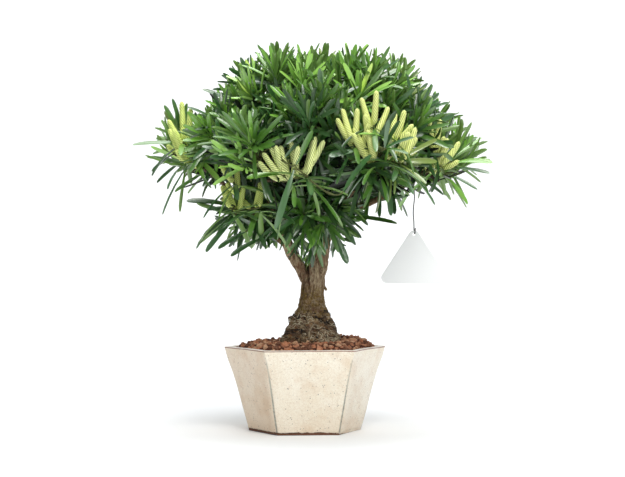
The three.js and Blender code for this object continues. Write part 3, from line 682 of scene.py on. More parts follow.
def pot_ring(z, reach, groove):
    """One level of the pot's outline, and how deep in a groove each of its points is."""
    points, marks = [], []
    for i in range(CORNERS):
        corner, after = pot_corner(i, reach), pot_corner(i + 1, reach)
        to_before = (pot_corner(i - 1, reach) - corner).normalized()
        to_after = (after - corner).normalized()
        inward = corner.normalized() * -groove
        sides = [(to_before, 1), (to_before, GLAZED.groove_between), (to_before, 0),
                 (to_after, GLAZED.groove_between), (to_after, 1)]
        for way, share in sides:
            place = corner + way * (share * POT.groove_width) + inward * (1 - share)
            points.append((*place, z))
            marks.append((1 - share) * (groove > 0))
        start = corner + to_after * POT.groove_width
        end = after - to_after * POT.groove_width
        for k in range(1, GLAZED.face_steps):
            points.append((*start.lerp(end, k / GLAZED.face_steps), z))
            marks.append(0)
    return points, marks


def pot_levels():
    """The pot's profile up its outside and down its inside, as (height, reach, groove)."""
    foot, step = POT.base_reach - POT.foot_inset, POT.foot_height
    shallow = POT.groove_depth / 2
    levels = [(0.0, foot - 1, 0), (0.5, foot, 0), (step, foot, 0),
              (step + 0.3, POT.base_reach - 0.5, shallow),
              (step + 1.2, POT.base_reach + 0.25, shallow)]
    for k in range(GLAZED.climbs):
        z = POT.groove_from + GLAZED.climb * k
        fading = held((POT.groove_to - z) / POT.groove_fade)
        levels.append((z, pot_reach(z), POT.groove_depth * fading))
    top, rim = POT.height, POT.rim_reach
    thickness = POT.wall / POT.depth_share
    return levels + [
        (top - 5, pot_reach(top - 5), 0), (top - 2.4, pot_reach(top - 2.4), 0),
        (top - 1, pot_reach(top) - 0.25, 0), (top - 0.3, rim - 0.6, 0), (top, rim - 1.4, 0),
        (top, rim - thickness + 1.4, 0), (top - 0.5, rim - thickness + 0.3, 0),
        (top - 6, pot_reach(top - 6) - thickness, 0),
        (POT.floor, pot_reach(POT.floor) - thickness, 0),
    ]


def thrown(place, outside):
    """A point of the pot, moved by the slight waves of a hand-made one. The foot stays flat."""
    x, y, z = place
    if z < POT.foot_height + GLAZED.level:
        return place
    out = Vector((x, y, 0)).normalized()
    wave = noise.noise(Vector((x, y, z)) * GLAZED.wave)
    wave *= GLAZED.wave_outside if outside else GLAZED.wave_inside
    lift = noise.noise(Vector((x * GLAZED.rim_wave, y * GLAZED.rim_wave, 5))) * GLAZED.rim_lift
    return x + out.x * wave, y + out.y * wave, z + (lift if z > GLAZED.rim_from else 0)


def make_pot():
    """The pot: its outside from the foot to the rim, and its inside down to the floor."""
    points, grooves, edges, rims = [], [], [], []
    levels = pot_levels()
    for z, reach, groove in levels:
        ring, marks = pot_ring(z, reach, groove)
        outside = reach > pot_reach(z) - GLAZED.skin
        points += [thrown(place, outside) for place in ring]
        grooves += marks
        below = POT.height - z
        edges += [int(abs(below - GLAZED.worn) < GLAZED.level)] * len(ring)
        rims += [int(below <= GLAZED.top or (below < GLAZED.lip and not outside))] * len(ring)
    points += [(0, 0, 0), (0, 0, POT.floor)]
    faces = tube_faces(len(levels), len(ring))
    pot = piece_of("pot_glazed", points, faces, [glaze_finish()], sharp=50)
    for name, values in (("groove", grooves), ("edge", edges), ("rim", rims)):
        set_measure(pot, name, values + [0, 0])
    return show(pot, "glaze", "pot")


# Two layers of grains, as (how far above the soil, space between). Every grain is a ball whose
# bulges are (how high, how close together).
GRIT = Sizes(
    tries=7000, half_width=100, half_depth=90, sizes=(2.1, 4.6), most=5.8, usual=0.85,
    wall=POT.wall + 2.2, sunk=0.35, layers=((0, 0.78), (1.6, 1.25)), flare_at=118, under_flare=3,
    rings=5, sides=8, bulges=((0.42, 1.3), (0.22, 3.1)), dropped_from=200,
    wide=(0.7, 1), flat=(0.6, 0.9),
)
LAVA_COLOURS = [
    ("lava_red", "b27050", "d2a081"), ("lava_brown", "976248", "be8f73"),
    ("lava_dark", "6a4535", "926b57"), ("lava_tan", "c19070", "dcb797"),
]


def rock(centre, size, draw):
    """A rough grain: a ball of rings whose points are pushed in and out."""
    rings, sides = GRIT.rings, GRIT.sides
    shift = drawn(draw, 0, 99)
    spin = Quaternion(drawn(draw, -1, 1).normalized(), draw(0, 6.28))
    squash = Vector((1, draw(*GRIT.wide), draw(*GRIT.flat)))
    points = []
    for r in range(rings + 2):
        polar = math.pi * r / (rings + 1)
        level = math.sin(polar)
        for k in range(sides if 0 < r < rings + 1 else 1):
            angle = 2 * math.pi * (k + 0.5 * (r % 2)) / sides
            way = Vector((level * math.cos(angle), level * math.sin(angle), -math.cos(polar)))
            bulge = 1
            for height, often in GRIT.bulges:
                bulge += height * noise.noise(way * often + shift)
            way = Vector(a * b for a, b in zip(way, squash)) * (size * bulge)
            points.append(tuple(centre + spin @ way))
    ring = np.arange(sides) + 1
    fans = [cap_faces(ring, 0, False), cap_faces(ring + (rings - 1) * sides, len(points) - 1, True)]
    return points, grid_faces(rings, sides, 1), np.concatenate(fans)


def grain_fits(x, y, size, laid, spacing):
    """Whether a grain is clear of the pot's wall, the trunk and the grains laid before it."""
    middle = Vector(TRUNK.path[0][:2])
    gap = math.dist((x, y), middle) - 0.5 * size
    angle = math.atan2(y - middle.y, x - middle.x)
    if gap < trunk_radius(GRIT.flare_at, angle) - GRIT.under_flare:
        return False
    if not pot_inside(x, y, GRIT.wall + 0.5 * size):
        return False
    return all(math.dist((x, y), place) >= spacing * (size + other) for place, other in laid)


def make_grit():
    """Lava grains lying on the soil in two layers."""
    soil = surface_of(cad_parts["soil"])
    draw = seeded(SEEDS.grit)
    heap = Heap()
    for lift, spacing in GRIT.layers:
        laid = []
        for _ in range(GRIT.tries):
            x = draw(-GRIT.half_width, GRIT.half_width)
            y = draw(-GRIT.half_depth, GRIT.half_depth)
            size = draw(*GRIT.sizes) if draw() < GRIT.usual else draw(GRIT.sizes[1], GRIT.most)
            if not grain_fits(x, y, size, laid, spacing):
                continue
            hit = soil.ray_cast(Vector((x, y, GRIT.dropped_from)) * MM, -UP)[0]
            if hit is None:
                continue
            laid.append(((x, y), size))
            z = hit.z / MM + lift - GRIT.sunk * size
            points, quads, fans = rock(Vector((x, y, z)), size, draw)
            heap.add(points, quads, fans, int(draw() * len(LAVA_COLOURS)))
    finishes = [lava_finish(*row) for row in LAVA_COLOURS]
    return show(heap.piece("lava_grit", finishes, sharp=35), "soil")


def finish_soil():
    """The soil's own solid stays under the grains, and takes their colour."""
    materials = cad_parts["soil"].data.materials
    materials.clear()
    materials.append(soil_finish())


# ---- Trunk and limb ----


def trunk_radius(z, angle):
    """The trunk's radius at a height, with the lobes of its flare."""
    flare = max(0, 1 - (z - SOIL_SEAT) / (TRUNK.flare_top - SOIL_SEAT))
    lobes = TRUNK.lobe_depth * flare * math.cos(TRUNK.lobes * angle + 1)
    return along(TRUNK.taper, z) * (1 + lobes)


trunk = Sizes(curve=smooth_curve(TRUNK.path), radius_at=lambda z: trunk_radius(z, 0))
left_limb = Sizes(curve=smooth_curve(LEFT_LIMB.path), radius_at=lambda z: along(LEFT_LIMB.taper, z))


def at_height(limb, z, steps=60):
    """The place on a limb's middle line that is nearest to a height."""
    points = [limb.curve(i / steps) for i in range(steps + 1)]
    return min(points, key=lambda p: abs(p.z - z))


def trunk_tube(rows, sides):
    """The trunk's rings stay level, so that its foot is a flat cut."""
    points = []
    for row in range(rows):
        middle = trunk.curve(row / (rows - 1))
        for k in range(sides):
            angle = 2 * math.pi * k / sides
            radius = trunk_radius(middle.z, angle)
            points.append((middle.x + radius * math.cos(angle),
                           middle.y + radius * math.sin(angle), middle.z))
    points += [tuple(trunk.curve(0)), tuple(trunk.curve(1))]
    return points, *tube_faces(rows, sides)


# The skin of the trunk is coarse and knobby below a height and fine above it. Its layers of
# ridges are (how close together, where they start, height far up, height low down).
BARK = Sizes(
    voxel=0.75, smooth=3, coarse_from=168, coarse_within=34, layers=[
        (0.12, (0, 0, 0), 0.6, 0.9), (0.28, (7, 3, 1), 0.7, 1.1), (0.62, (1, 9, 4), 0.6, 0.6)],
    warp=7, warp_often=(0.05, 0.035), warp_back=0.6, drawn_out=(0.2, 0.6), grain=0.4,
    grain_often=1.2, knobs=2, knobs_often=0.1, sunk=0.3, relief=0.24, moss_from=185,
    moss_within=60, foot=0.3, front_from=2, front_within=10,
)
# Forms on the trunk's front, each with its place, its size and how deep it goes: the scar of a
# cut bough, the crack over the flare, the seam and the slit up to the fork, and at the left the
# cleft under the limb.
SCAR = Sizes(x=12, z=125, half_width=7, half_height=11, lip=1.5, lip_width=0.3, hollow=1.2)
CRACK = Sizes(z=142.5, depth=2.6, width=1.5, wander=2.5, wander_often=0.12, hump_x=7,
              hump_width=5, hump=2.4, drops_from=10, drop=0.02, whole=0.75, breaks=1.4,
              breaks_often=0.16, left_end=-12, fade=8)
SEAM = Sizes(x=5.5, lean=0.06, z=180, sway=1.2, sway_often=0.09, width=1.6, depth=1.6,
             foot=172, foot_fade=10, head=209, head_fade=3)
SLIT = Sizes(x=3.2, width=1.5, depth=1.5, foot=194, foot_fade=6, head=212, head_fade=4)
CLEFT = Sizes(z=178, half_height=11, y=-6, width=2.4, depth=2.2, left_of=4)
WAIST = Sizes(at=0.14, width=0.08, depth=0.14)  # where the left limb leaves the fork
# A strip of bark that has come free on the trunk's right edge, and its radius at both ends.
BARK_FLAKE = [(22.5, -3, 203), (23.6, -3.5, 194), (24, -4, 187), (24.6, -4, 181), (26.8, -4.2, 177)]
FLAKE_TAPER = (1.2, 0.75)
STUB_TAPER = (2.2, 0.3)  # the cut stub's radius at both ends, beside the source's
STUB_SHOWS = 0.93  # the share of the stub's length that its rough end leaves


def ridged(place):
    return 1 - 2 * abs(noise.noise(place))


def ridge_height(x, y, z):
    """The bark's ridges, plates and fibres, drawn out along the trunk."""
    low = held((BARK.coarse_from - z) / BARK.coarse_within)
    across, up = BARK.warp_often
    warp = BARK.warp * noise.noise(Vector((x * across, y * across, z * up)))
    q = Vector((x + warp, y - BARK.warp_back * warp, z * lerp(*BARK.drawn_out, low)))
    height = 0
    for often, start, above, below in BARK.layers:
        height += lerp(above, below, low) * ridged(q * often + Vector(start))
    grain = BARK.grain * noise.noise(q * BARK.grain_often)
    knobs = noise.noise(Vector((x, y, z)) * BARK.knobs_often)
    return height + grain + low * BARK.knobs * knobs - BARK.sunk


def crack_depth(x, y, z, front):
    """The crack over the flare, which wanders, comes and goes."""
    often = CRACK.wander_often
    wander = CRACK.wander * noise.noise(Vector((x * often, y * often, 3)))
    hump = CRACK.hump * bell(x, CRACK.hump_x, CRACK.hump_width)
    level = CRACK.z + wander + hump - CRACK.drop * max(0, x - CRACK.drops_from) ** 2
    often = CRACK.breaks_often
    here = held(CRACK.whole + CRACK.breaks * noise.noise(Vector((x * often, y * often, 9))))
    crack = here * bell(z, level, CRACK.width) * held((x - CRACK.left_end) / CRACK.fade)
    return CRACK.depth * crack * front


def scar_height(x, z):
    """The scar's raised lip and the hollow within it."""
    ring = math.hypot((x - SCAR.x) / SCAR.half_width, (z - SCAR.z) / SCAR.half_height)
    return SCAR.lip * bell(ring, 1, SCAR.lip_width) - SCAR.hollow * max(0, 1 - ring) ** 0.5


def seam_depth(x, z, front):
    """The seam, which leans and sways on its way up."""
    sway = SEAM.sway * noise.noise(Vector((0, 0, z * SEAM.sway_often)))
    middle = SEAM.x - SEAM.lean * (z - SEAM.z) + sway
    groove = bell(x, middle, SEAM.width) * front
    above, below = held((z - SEAM.foot) / SEAM.foot_fade), held((SEAM.head - z) / SEAM.head_fade)
    return SEAM.depth * groove * above * below


def slit_depth(x, z):
    """The narrow slit below the fork."""
    slit = bell(x, SLIT.x, SLIT.width) * held((z - SLIT.foot) / SLIT.foot_fade)
    return SLIT.depth * slit * held((SLIT.head - z) / SLIT.head_fade)


def bark_height(place):
    """How far the bark stands out at a place on the trunk or limb, in millimetres."""
    x, y, z = place
    front = held((BARK.front_from - y) / BARK.front_within)
    height = ridge_height(x, y, z) - crack_depth(x, y, z, front)
    if y < 0:
        height += scar_height(x, z)
    height -= seam_depth(x, z, front)
    height -= slit_depth(x, z)
    if x < CLEFT.left_of:
        height -= CLEFT.depth * (bell(z, CLEFT.z, CLEFT.half_height) * bell(y, CLEFT.y, CLEFT.width))
    return height


def trunk_form():
    """The trunk, the left limb, the strip of free bark and the cut stub, before their bark."""

    def limb_radius(share, angle):
        waist = 1 - WAIST.depth * bell(share, WAIST.at, WAIST.width)
        return left_limb.radius_at(left_limb.curve(share).z) * waist

    start, end = [Vector(place) for place in TRUNK.stub]
    stub = bezier([start, start.lerp(end, STUB_SHOWS)])
    heap = Heap()
    heap.add(*trunk_tube(*TUBES.trunk))
    heap.add(*tube(left_limb.curve, *TUBES.limb, limb_radius))
    heap.add(*tube(smooth_curve(BARK_FLAKE), *TUBES.flake, lambda s, a: lerp(*FLAKE_TAPER, s)))
    heap.add(*tube(stub, *TUBES.stub, lambda s, a: TRUNK.stub_radius * lerp(*STUB_TAPER, s)))
    return heap.piece("trunk_form", [])


def remeshed(piece, voxel, smooth):
    """The piece as one skin of even faces, smoothed so that its parts run together."""
    remesh = piece.modifiers.new("skin", "REMESH")
    remesh.mode = "VOXEL"
    remesh.voxel_size = voxel * MM
    relax = piece.modifiers.new("relax", "SMOOTH")
    relax.iterations = smooth
    return settled(piece)


def make_trunk():
    """The trunk with its left limb and stub, grown into one skin and given its bark."""
    mesh = remeshed(trunk_form(), BARK.voxel, BARK.smooth)
    mesh.name = "trunk_bark"
    places, normals = np.zeros((2, len(mesh.vertices) * 3))
    mesh.vertices.foreach_get("co", places)
    mesh.vertex_normals.foreach_get("vector", normals)
    places = places.reshape(-1, 3) / MM
    heights = np.array([bark_height(place) for place in places])
    seat = SOIL_SEAT + BARK.foot
    above_foot = np.clip((places[:, 2] - SOIL_SEAT - BARK.foot) / 2, 0, 1)
    places += normals.reshape(-1, 3) * (heights * above_foot)[:, None]
    places[:, 2] = np.maximum(places[:, 2], seat)
    mesh.vertices.foreach_set("co", (places * MM).ravel())
    mesh.shade_smooth()
    piece = placed("trunk_bark", mesh)
    set_measure(piece, "relief", np.clip(0.5 + BARK.relief * heights, 0, 1))
    moss = (BARK.moss_from - places[:, 2]) / BARK.moss_within
    set_measure(piece, "moss", np.clip(moss, 0, 1))
    mesh.materials.append(bark_finish("trunk_bark", "1c140f", "765f49", "c8b392", 0.95))
    return show(piece, "bark", "trunk", "limb_left")


# ---- Roots on the flare ----

ROOTS = Sizes(
    count=270, hairs=34, low=112, heights=(116, 147), hair_heights=(113, 123),
    thick=(0.35, 0.85), thins=0.5, steps=6, across=3.2, down=3.4,
    hair_from=-1.25, hair_to=-0.35, lift=0.9, turn=1.3, most_turn=1.5, falls=(-0.6, 1),
)
# The pale old root that arches over the front of the flare, by its places (x, z).
ARCH = Sizes(route=[(17.5, 131.5), (11.3, 134.5), (7.5, 130), (5.2, 122.5), (6, 114)],
             thick=1.35, foot=1.1, thins=0.4, cast_from=-200)
ROOT_COLOURS = [
    ("root_pale", "d6c9ad", "94836a"), ("root_brown", "80624a", "4b3829"),
    ("root_dark", "33271d", "1b140f"), ("root_old", "a39478", "6b5b48"),
]
OLD_ROOT = len(ROOT_COLOURS) - 1


def root_route(flare, place, draw):
    """A root's way over the flare, from a place near it."""
    drift = draw(-1, 1)
    route = []
    for _ in range(ROOTS.steps):
        spot, normal, _, _ = flare.find_nearest(place * MM)
        route.append(spot / MM + normal * draw(0, ROOTS.lift))
        side = UP.cross(normal).normalized()
        drift += draw(-ROOTS.turn, ROOTS.turn)
        drift = max(-ROOTS.most_turn, min(ROOTS.most_turn, drift))
        place = route[-1] + side * (drift * ROOTS.across) - UP * draw(*ROOTS.falls) * ROOTS.down
        place.z = max(place.z, ROOTS.low)
    return route


def make_roots(bark):
    """Fine roots that lie matted on the flare, pale hairs at its front, and one old root."""
    flare = surface_of(bark)
    draw = seeded(SEEDS.roots)
    heap = Heap()
    middle = trunk.curve(0)
    for n in range(ROOTS.count + ROOTS.hairs):
        hair = n >= ROOTS.count
        angle = draw(ROOTS.hair_from, ROOTS.hair_to) if hair else draw(0, 2 * math.pi)
        z = draw(*ROOTS.hair_heights) if hair else draw(*ROOTS.heights)
        radius = trunk_radius(z, angle)
        start = Vector((middle.x + radius * math.cos(angle), radius * math.sin(angle), z))
        route = smooth_curve(root_route(flare, start, draw))
        thick = draw(*ROOTS.thick)
        slot = 0 if hair else int(draw() * OLD_ROOT)
        heap.add(*tube(route, *TUBES.root, lambda s, a: thick * (1 - ROOTS.thins * s)), slot)
    arch = []
    for x, z in ARCH.route:
        spot, *_ = flare.ray_cast(Vector((x, ARCH.cast_from, z)) * MM, Vector((0, 1, 0)))
        arch.append(spot / MM)
    old_root = tube(smooth_curve(arch), *TUBES.arch,
                    lambda s, a: ARCH.thick * (ARCH.foot - ARCH.thins * s))
    heap.add(*old_root, OLD_ROOT)
    return show(heap.piece("root_mat", [twig_finish(*row) for row in ROOT_COLOURS]), "bark")


# ---- Boughs ----


def tier_masses(tier, number):
    """A tier's masses of foliage, set in a ring round the crown's middle as in the source."""
    masses = []
    for i in range(tier.count):
        degrees = tier.start + 360 * i / tier.count
        angle = math.radians(degrees)
        across = tier.ring * math.cos(angle)
        side = COMPASS[math.floor(degrees / 45 + 0.5) % len(COMPASS)]
        centre = Vector((CROWN_MIDDLE[0] + tier.shift + across,
                         CROWN_MIDDLE[1] + tier.ring * CROWN_DEPTH * math.sin(angle),
                         tier.height + tier.slope * across))
        masses.append(Sizes(name=tier.name + "_" + side, tier=tier.name, centre=centre,
                            seed=100 * (number + 1) + i, reach=Vector(tier.reach),
                            under=tier.under, attach=tier.attach, lift=tier.lift))
    return masses


def make_bough(mass, parent, draw):
    """A bough's curve, from the middle of its parent to the near side of its mass."""
    root = at_height(parent, mass.attach + BOUGH.spread * (draw() - 0.5))
    outward = (mass.centre - root).normalized()
    tip = mass.centre - outward * (BOUGH.stem_share * mass.reach[0])
    length = (tip - root).length

    def sway():
        return (draw() - 0.5) * 2 * BOUGH.sway * length

    flat = Vector((outward.x, outward.y, 0)).normalized()
    first = root + flat * (BOUGH.leave[0] * length)
    first += Vector((sway(), sway(), BOUGH.leave[1] * length))
    second = tip - outward * (BOUGH.arrive[0] * length)
    second += Vector((sway(), sway(), -BOUGH.arrive[1] * length))
    thick = min(BOUGH.root_most, BOUGH.root_share * parent.radius_at(root.z))
    return Sizes(name=mass.name, curve=bezier([root, first, second, tip]), thick=thick)


masses = [m for number, tier in enumerate(TIERS) for m in tier_masses(tier, number)]
apex = masses[0]
boughs = {
    mass.name: make_bough(mass, left_limb if mass.centre.x < LEFT_OF else trunk,
                          seeded(BOUGH.seed + mass.seed))
    for mass in masses[1:]
}


# Knots and strips on a bough: how close together along it and round it, and how high. The last
# number is how much of the bough's thickness their relief takes.
KNOTS = Sizes(along=14, around=1, height=0.35)
STRIPS = Sizes(along=5, around=2.2, height=0.18)
BOUGH_RELIEF = 0.35
BOUGH_MOSS = 0.3


def bough_relief(share, angle, shift):
    """The relief at a place on a bough, which differs from bough to bough by its shift."""

    def place(form):
        round_it = form.around * math.cos(angle), form.around * math.sin(angle)
        return Vector((share * form.along, *round_it)) + shift

    return KNOTS.height * noise.noise(place(KNOTS)) + STRIPS.height * ridged(place(STRIPS))


def make_boughs():
    """Every bough, with a knotted skin, joined into one piece."""
    heap = Heap()
    reliefs = []
    for bough in boughs.values():
        shift = Vector((len(bough.name), bough.thick, 3))

        def radius_at(share, angle, bough=bough, shift=shift):
            relief = bough_relief(share, angle, shift)
            reliefs.append(relief)
            return lerp(bough.thick, BOUGH.tip, share) * (1 + BOUGH_RELIEF * relief)

        heap.add(*tube(bough.curve, *TUBES.bough, radius_at))
        reliefs += [0, 0]
    piece = heap.piece("bough_bark", [bark_finish("bough_bark", "2e231b", "705a46", "a58d70", 0.4)])
    set_measure(piece, "relief", np.clip(0.5 + np.array(reliefs), 0, 1))
    set_measure(piece, "moss", np.full(len(reliefs), BOUGH_MOSS))
    return show(piece, "bark", *["bough_" + name for name in boughs])


# ---- Crown ----


class Blades:
    """Leaves gathered row by row, then made into pieces."""

    fields = ("root", "axis", "direction", "length", "width", "bend", "twist", "droop", "shade")

    def __init__(self):
        self.rows = []

    def add(self, **leaf):
        self.rows.append([leaf[field] for field in self.fields])

    def column(self, field):
        i = self.fields.index(field)
        return np.array([tuple(r[i]) if isinstance(r[i], Vector) else r[i] for r in self.rows])

    def points(self):
        """Points of every leaf: its rings of six points, and its tip."""
        axis, direction = self.column("axis"), self.column("direction")
        length, width = self.column("length"), self.column("width")
        bend, twist, droop = self.column("bend"), self.column("twist"), self.column("droop")
        side = unit(np.cross(axis, direction))
        face = np.cross(direction, side)
        shares = np.array([*LEAF.stations, 1.0])
        middle = self.column("root")
        rings = []
        for j, share in enumerate(shares):
            if j:
                half = (share + shares[j - 1]) / 2
                way = self.heading(direction, face, bend, droop, half)
                middle = middle + way * ((share - shares[j - 1]) * length)[:, None]
            if j == len(LEAF.stations):
                rings.append(middle[:, None, :])
                break
            way = self.heading(direction, face, bend, droop, share)
            turn = (twist * share)[:, None]
            across = side * np.cos(turn) + face * np.sin(turn)
            across = unit(across - way * np.sum(across * way, 1)[:, None])
            up = np.cross(way, across)
            reach = (0.5 * LEAF.breadth[j] * width)[:, None]
            thick = LEAF.thickness * lerp(LEAF.thinnest, 1, LEAF.breadth[j])
            fold = LEAF.fold * reach
            rings.append(np.stack([middle + across * (beside * reach) + up * (a * fold + b * thick)
                                   for beside, a, b in LEAF_SECTION], 1))
        return np.concatenate(rings, 1)

    @staticmethod
    def heading(direction, face, bend, droop, share):
        """Which way a leaf runs at a share of its length: up along its twig, then back down."""
        turn = (bend * (LEAF.straight_at - share))[:, None]
        way = direction * np.cos(turn) + face * np.sin(turn)
        way[:, 2] -= droop * share
        return unit(way)


def unit(v):
    return v / np.maximum(np.linalg.norm(v, axis=-1, keepdims=True), 1e-9)


def leaf_template():
    """Faces of one leaf. The first four strips of each ring are its upper side."""
    rows = len(LEAF.stations)
    quads = grid_faces(rows, LEAF_SIDES)
    under = (np.arange(len(quads)) % LEAF_SIDES) >= LEAF_SIDES - 2
    tip = rows * LEAF_SIDES
    last = np.arange(LEAF_SIDES) + (rows - 1) * LEAF_SIDES
    foot = [[k, LEAF_SIDES - 1, k + 1] for k in range(LEAF_SIDES - 2)]
    fans = np.concatenate([cap_faces(last, tip, True), foot])
    fan_under = np.array([0, 0, 0, 0, 1, 1, 1, 1, 1, 1], bool)
    return quads, fans, under, fan_under


# The deepest colour is painted shade for the inner sprays deep in the crown. The dark one is a real
# tone, and also painted shade where inner sprays reach the rim or grow low. Both have less gloss, so
# that the gaps between sprays stay dark.
LEAF_COLOURS = [
    ("leaf_deep", "0c160a", 0.3), ("leaf_dark", "274a1c", 0.7), ("leaf_blue", "386430", 1),
    ("leaf_mid", "4a7826", 1), ("leaf_green", "70a636", 1), ("leaf_fresh", "9cd05c", 1),
    ("leaf_new", "bfe066", 1), ("leaf_olive", "748a3a", 1), ("leaf_under", "719649", 0.8),
]
DEEP_SHADE, DARK, BLUE, MID, GREEN, FRESH, NEW, OLIVE, UNDER = range(len(LEAF_COLOURS))
LEAVES_A_PIECE = 2350


def make_leaf_pieces(blades):
    """The leaves, in pieces of even size, each with the shades that its sprays were dealt."""
    points = blades.points()
    shades = blades.column("shade")
    quads, fans, under, fan_under = leaf_template()
    finishes = [leaf_finish(*row) for row in LEAF_COLOURS]
    pieces = math.ceil(len(points) / LEAVES_A_PIECE)
    for n, rows in enumerate(np.array_split(np.arange(len(points)), pieces)):
        part = points[rows]
        first = (np.arange(len(rows)) * part.shape[1])[:, None, None]
        faces = [(quads + first).reshape(-1, 4), (fans + first).reshape(-1, 3)]
        shade = shades[rows][:, None]
        # Painted shade: the deepest leaves stay as dark on their undersides; the dark ones show the
        # blue shade below.
        below = np.select([shade == DEEP_SHADE, shade == DARK], [DEEP_SHADE, BLUE], UNDER)
        slots = [np.where(under, below, shade).ravel(), np.where(fan_under, below, shade).ravel()]
        piece = piece_of(f"leaves_{n + 1}", part.reshape(-1, 3), faces, finishes,
                         np.concatenate(slots), sharp=70)
        show(piece, "foliage", *["foliage_" + mass.name for mass in masses[n::pieces]])


def borders_of(mass):
    """Planes halfway to every other mass, as (normal, distance from the mass's centre)."""
    planes = []
    for other in masses:
        if other is not mass:
            offset = other.centre - mass.centre
            planes.append((offset.normalized(), offset.length / 2))
    return planes


def shoot_reach(mass, direction, borders):
    """How far a shoot goes: to the mass's surface, or so far that its leaves end near a border."""
    shrink = mass.under if direction.z < 0 else 1
    surface = shrink * Vector(a * b for a, b in zip(mass.reach, direction)).length
    ways = [(normal.dot(direction), far) for normal, far in borders]
    ahead = [far / facing - SHOOT.room for facing, far in ways if facing > SHOOT.facing]
    return max(SHOOT.least_reach, min([surface, *ahead]))


def seen(places):
    """Where places (rows of x, y, z) appear from the front, at the depth of the trunk."""
    places = np.asarray(places, float)
    scale = CAMERA.y / (CAMERA.y - places[..., 1])
    return np.stack([CAMERA.x + (places[..., 0] - CAMERA.x) * scale,
                     CAMERA.z + (places[..., 2] - CAMERA.z) * scale], -1)


def in_outline(places):
    """Whether each place is inside the crown's outline, seen from the front."""
    flat = seen(places)
    x, z = flat[..., 0], flat[..., 1]
    inside = np.zeros(x.shape, bool)
    for (xa, za), (xb, zb) in zip(OUTLINE, OUTLINE[1:] + OUTLINE[:1]):
        if za != zb:
            crossing = xa + (z - za) * (xb - xa) / (zb - za)
            inside ^= ((za > z) != (zb > z)) & (x < crossing)
    return inside


def shoot_directions(count, outward, draw):
    """Even directions all round, and whether each points back into the crown."""
    turn = draw() * 2 * math.pi
    for i in range(count):
        height = 1 - 2 * (i + 0.5) / count
        angle = turn + i * GOLDEN_ANGLE
        level = math.sqrt(1 - height * height)
        direction = Vector((level * math.cos(angle), level * math.sin(angle), height))
        yield direction, direction.dot(outward) < SHOOT.inward


# How fresh a spray is: more so the higher and the further outside it is, and by chance. Further to the
# left it is made fresher and so lighter, as painted light on the crown's left side, and in the dim
# middle less fresh and so darker, as painted shade. Then its shade is the first whose value it is
# over.
SPRAY = Sizes(
    olive=0.04, half_width=190, half_depth=165, middle=330, half_height=125,
    by_height=0.34, low=230, rise=220, outside=0.9, less=0.62, chance=0.56,
    left_of=-40, by_left=0.002, dim=0.55, dim_middle=355, dim_height=80, dim_width=150,
    shades=((NEW, 1.06), (FRESH, 0.76), (GREEN, 0.5), (MID, 0.24)), blue=0.25, dark=0.85,
)
# A leaf's age on its shoot: by its place and by chance, with the values for another shade.
AGE = Sizes(by_share=0.5, younger=1.15, older=0.42, oldest=0.22)
# Each kind of twig: its radius at its foot and at its tip. Old wood is brown, young wood green.
RADII = Sizes(
    stem=(BOUGH.tip, SHOOT.radius), shoot=(SHOOT.radius, 0.8), side=(0.9, 0.7),
    whorl=(SHOOT.radius, 1.0), long_leaf=(1.0, 0.75), sprout=(1.0, 0.7),
)
OLD_WOOD, YOUNG_WOOD = 0, 1


def spray_shade(tip, draw):
    """The shade of a spray: fresher towards the top and the outside of the crown."""
    if draw() < SPRAY.olive:
        return OLIVE
    x, y = tip.x - CROWN_MIDDLE[0], tip.y - CROWN_MIDDLE[1]
    across = math.hypot(x / SPRAY.half_width, y / SPRAY.half_depth)
    outside = math.hypot(across, (tip.z - SPRAY.middle) / SPRAY.half_height)
    fresh = SPRAY.by_height * (tip.z - SPRAY.low) / SPRAY.rise + SPRAY.outside * outside
    fresh = fresh - SPRAY.less + draw(-SPRAY.chance, SPRAY.chance)
    # Painted light: sprays further to the left are made lighter.
    fresh += SPRAY.by_left * max(0, SPRAY.left_of - tip.x)
    # Painted shade: sprays in the crown's middle, in the hollow between tiers, are made darker.
    dim = SPRAY.dim * max(0, 1 - abs(tip.z - SPRAY.dim_middle) / SPRAY.dim_height)
    fresh -= dim * max(0, 1 - abs(x) / SPRAY.dim_width)
    for shade, least in SPRAY.shades:
        if fresh > least:
            return shade
    return BLUE if draw() < SPRAY.blue else (DARK if draw() < SPRAY.dark else MID)


def leaf_shade(spray, share, draw):
    """A leaf's own shade: near its spray's, older low on the shoot and younger at its tip."""
    if spray in (DEEP_SHADE, OLIVE):
        return spray
    step = draw() + AGE.by_share * share
    if step > AGE.younger:
        return min(NEW, spray + 1)
    if step < AGE.oldest:
        return max(DARK, spray - 2)
    return max(DARK, spray - 1) if step < AGE.older else spray


def grow_leaves(blades, curve, start_share, count, mass, spray, draw, scale=1.0):
    """Leaves in a spiral on the last stretch of a twig, closing in on its axis at the tip."""
    start = draw() * 2 * math.pi
    growth = GROWTH[mass.tier]
    longest = LEAF.length * growth.leaf * scale
    for i in range(count):
        share = i / (count - 1)
        place = lerp(start_share, SHOOT.last, share)
        axis = tangent_of(curve, place)
        splay = lerp(LEAF.splay_first, LEAF.splay_last, share) * draw(*VARY.splay)
        direction = leaning(axis, splay, start + i * GOLDEN_ANGLE + draw(*VARY.turn))
        direction.z += mass.lift * draw(*VARY.lift)
        direction.normalize()
        age = 1 - share
        blades.add(
            root=curve(place), axis=axis, direction=direction,
            length=longest * lerp(1, LEAF.young, share ** 3) * draw(*VARY.length),
            width=LEAF.width * lerp(1, LEAF.young_width, share ** 2) * draw(*VARY.width),
            bend=draw(*VARY.bend) * lerp(LEAF.young_bend, 1, age), twist=draw(*VARY.twist),
            droop=growth.hang * draw(*VARY.droop) * age, shade=leaf_shade(spray, share, draw),
        )


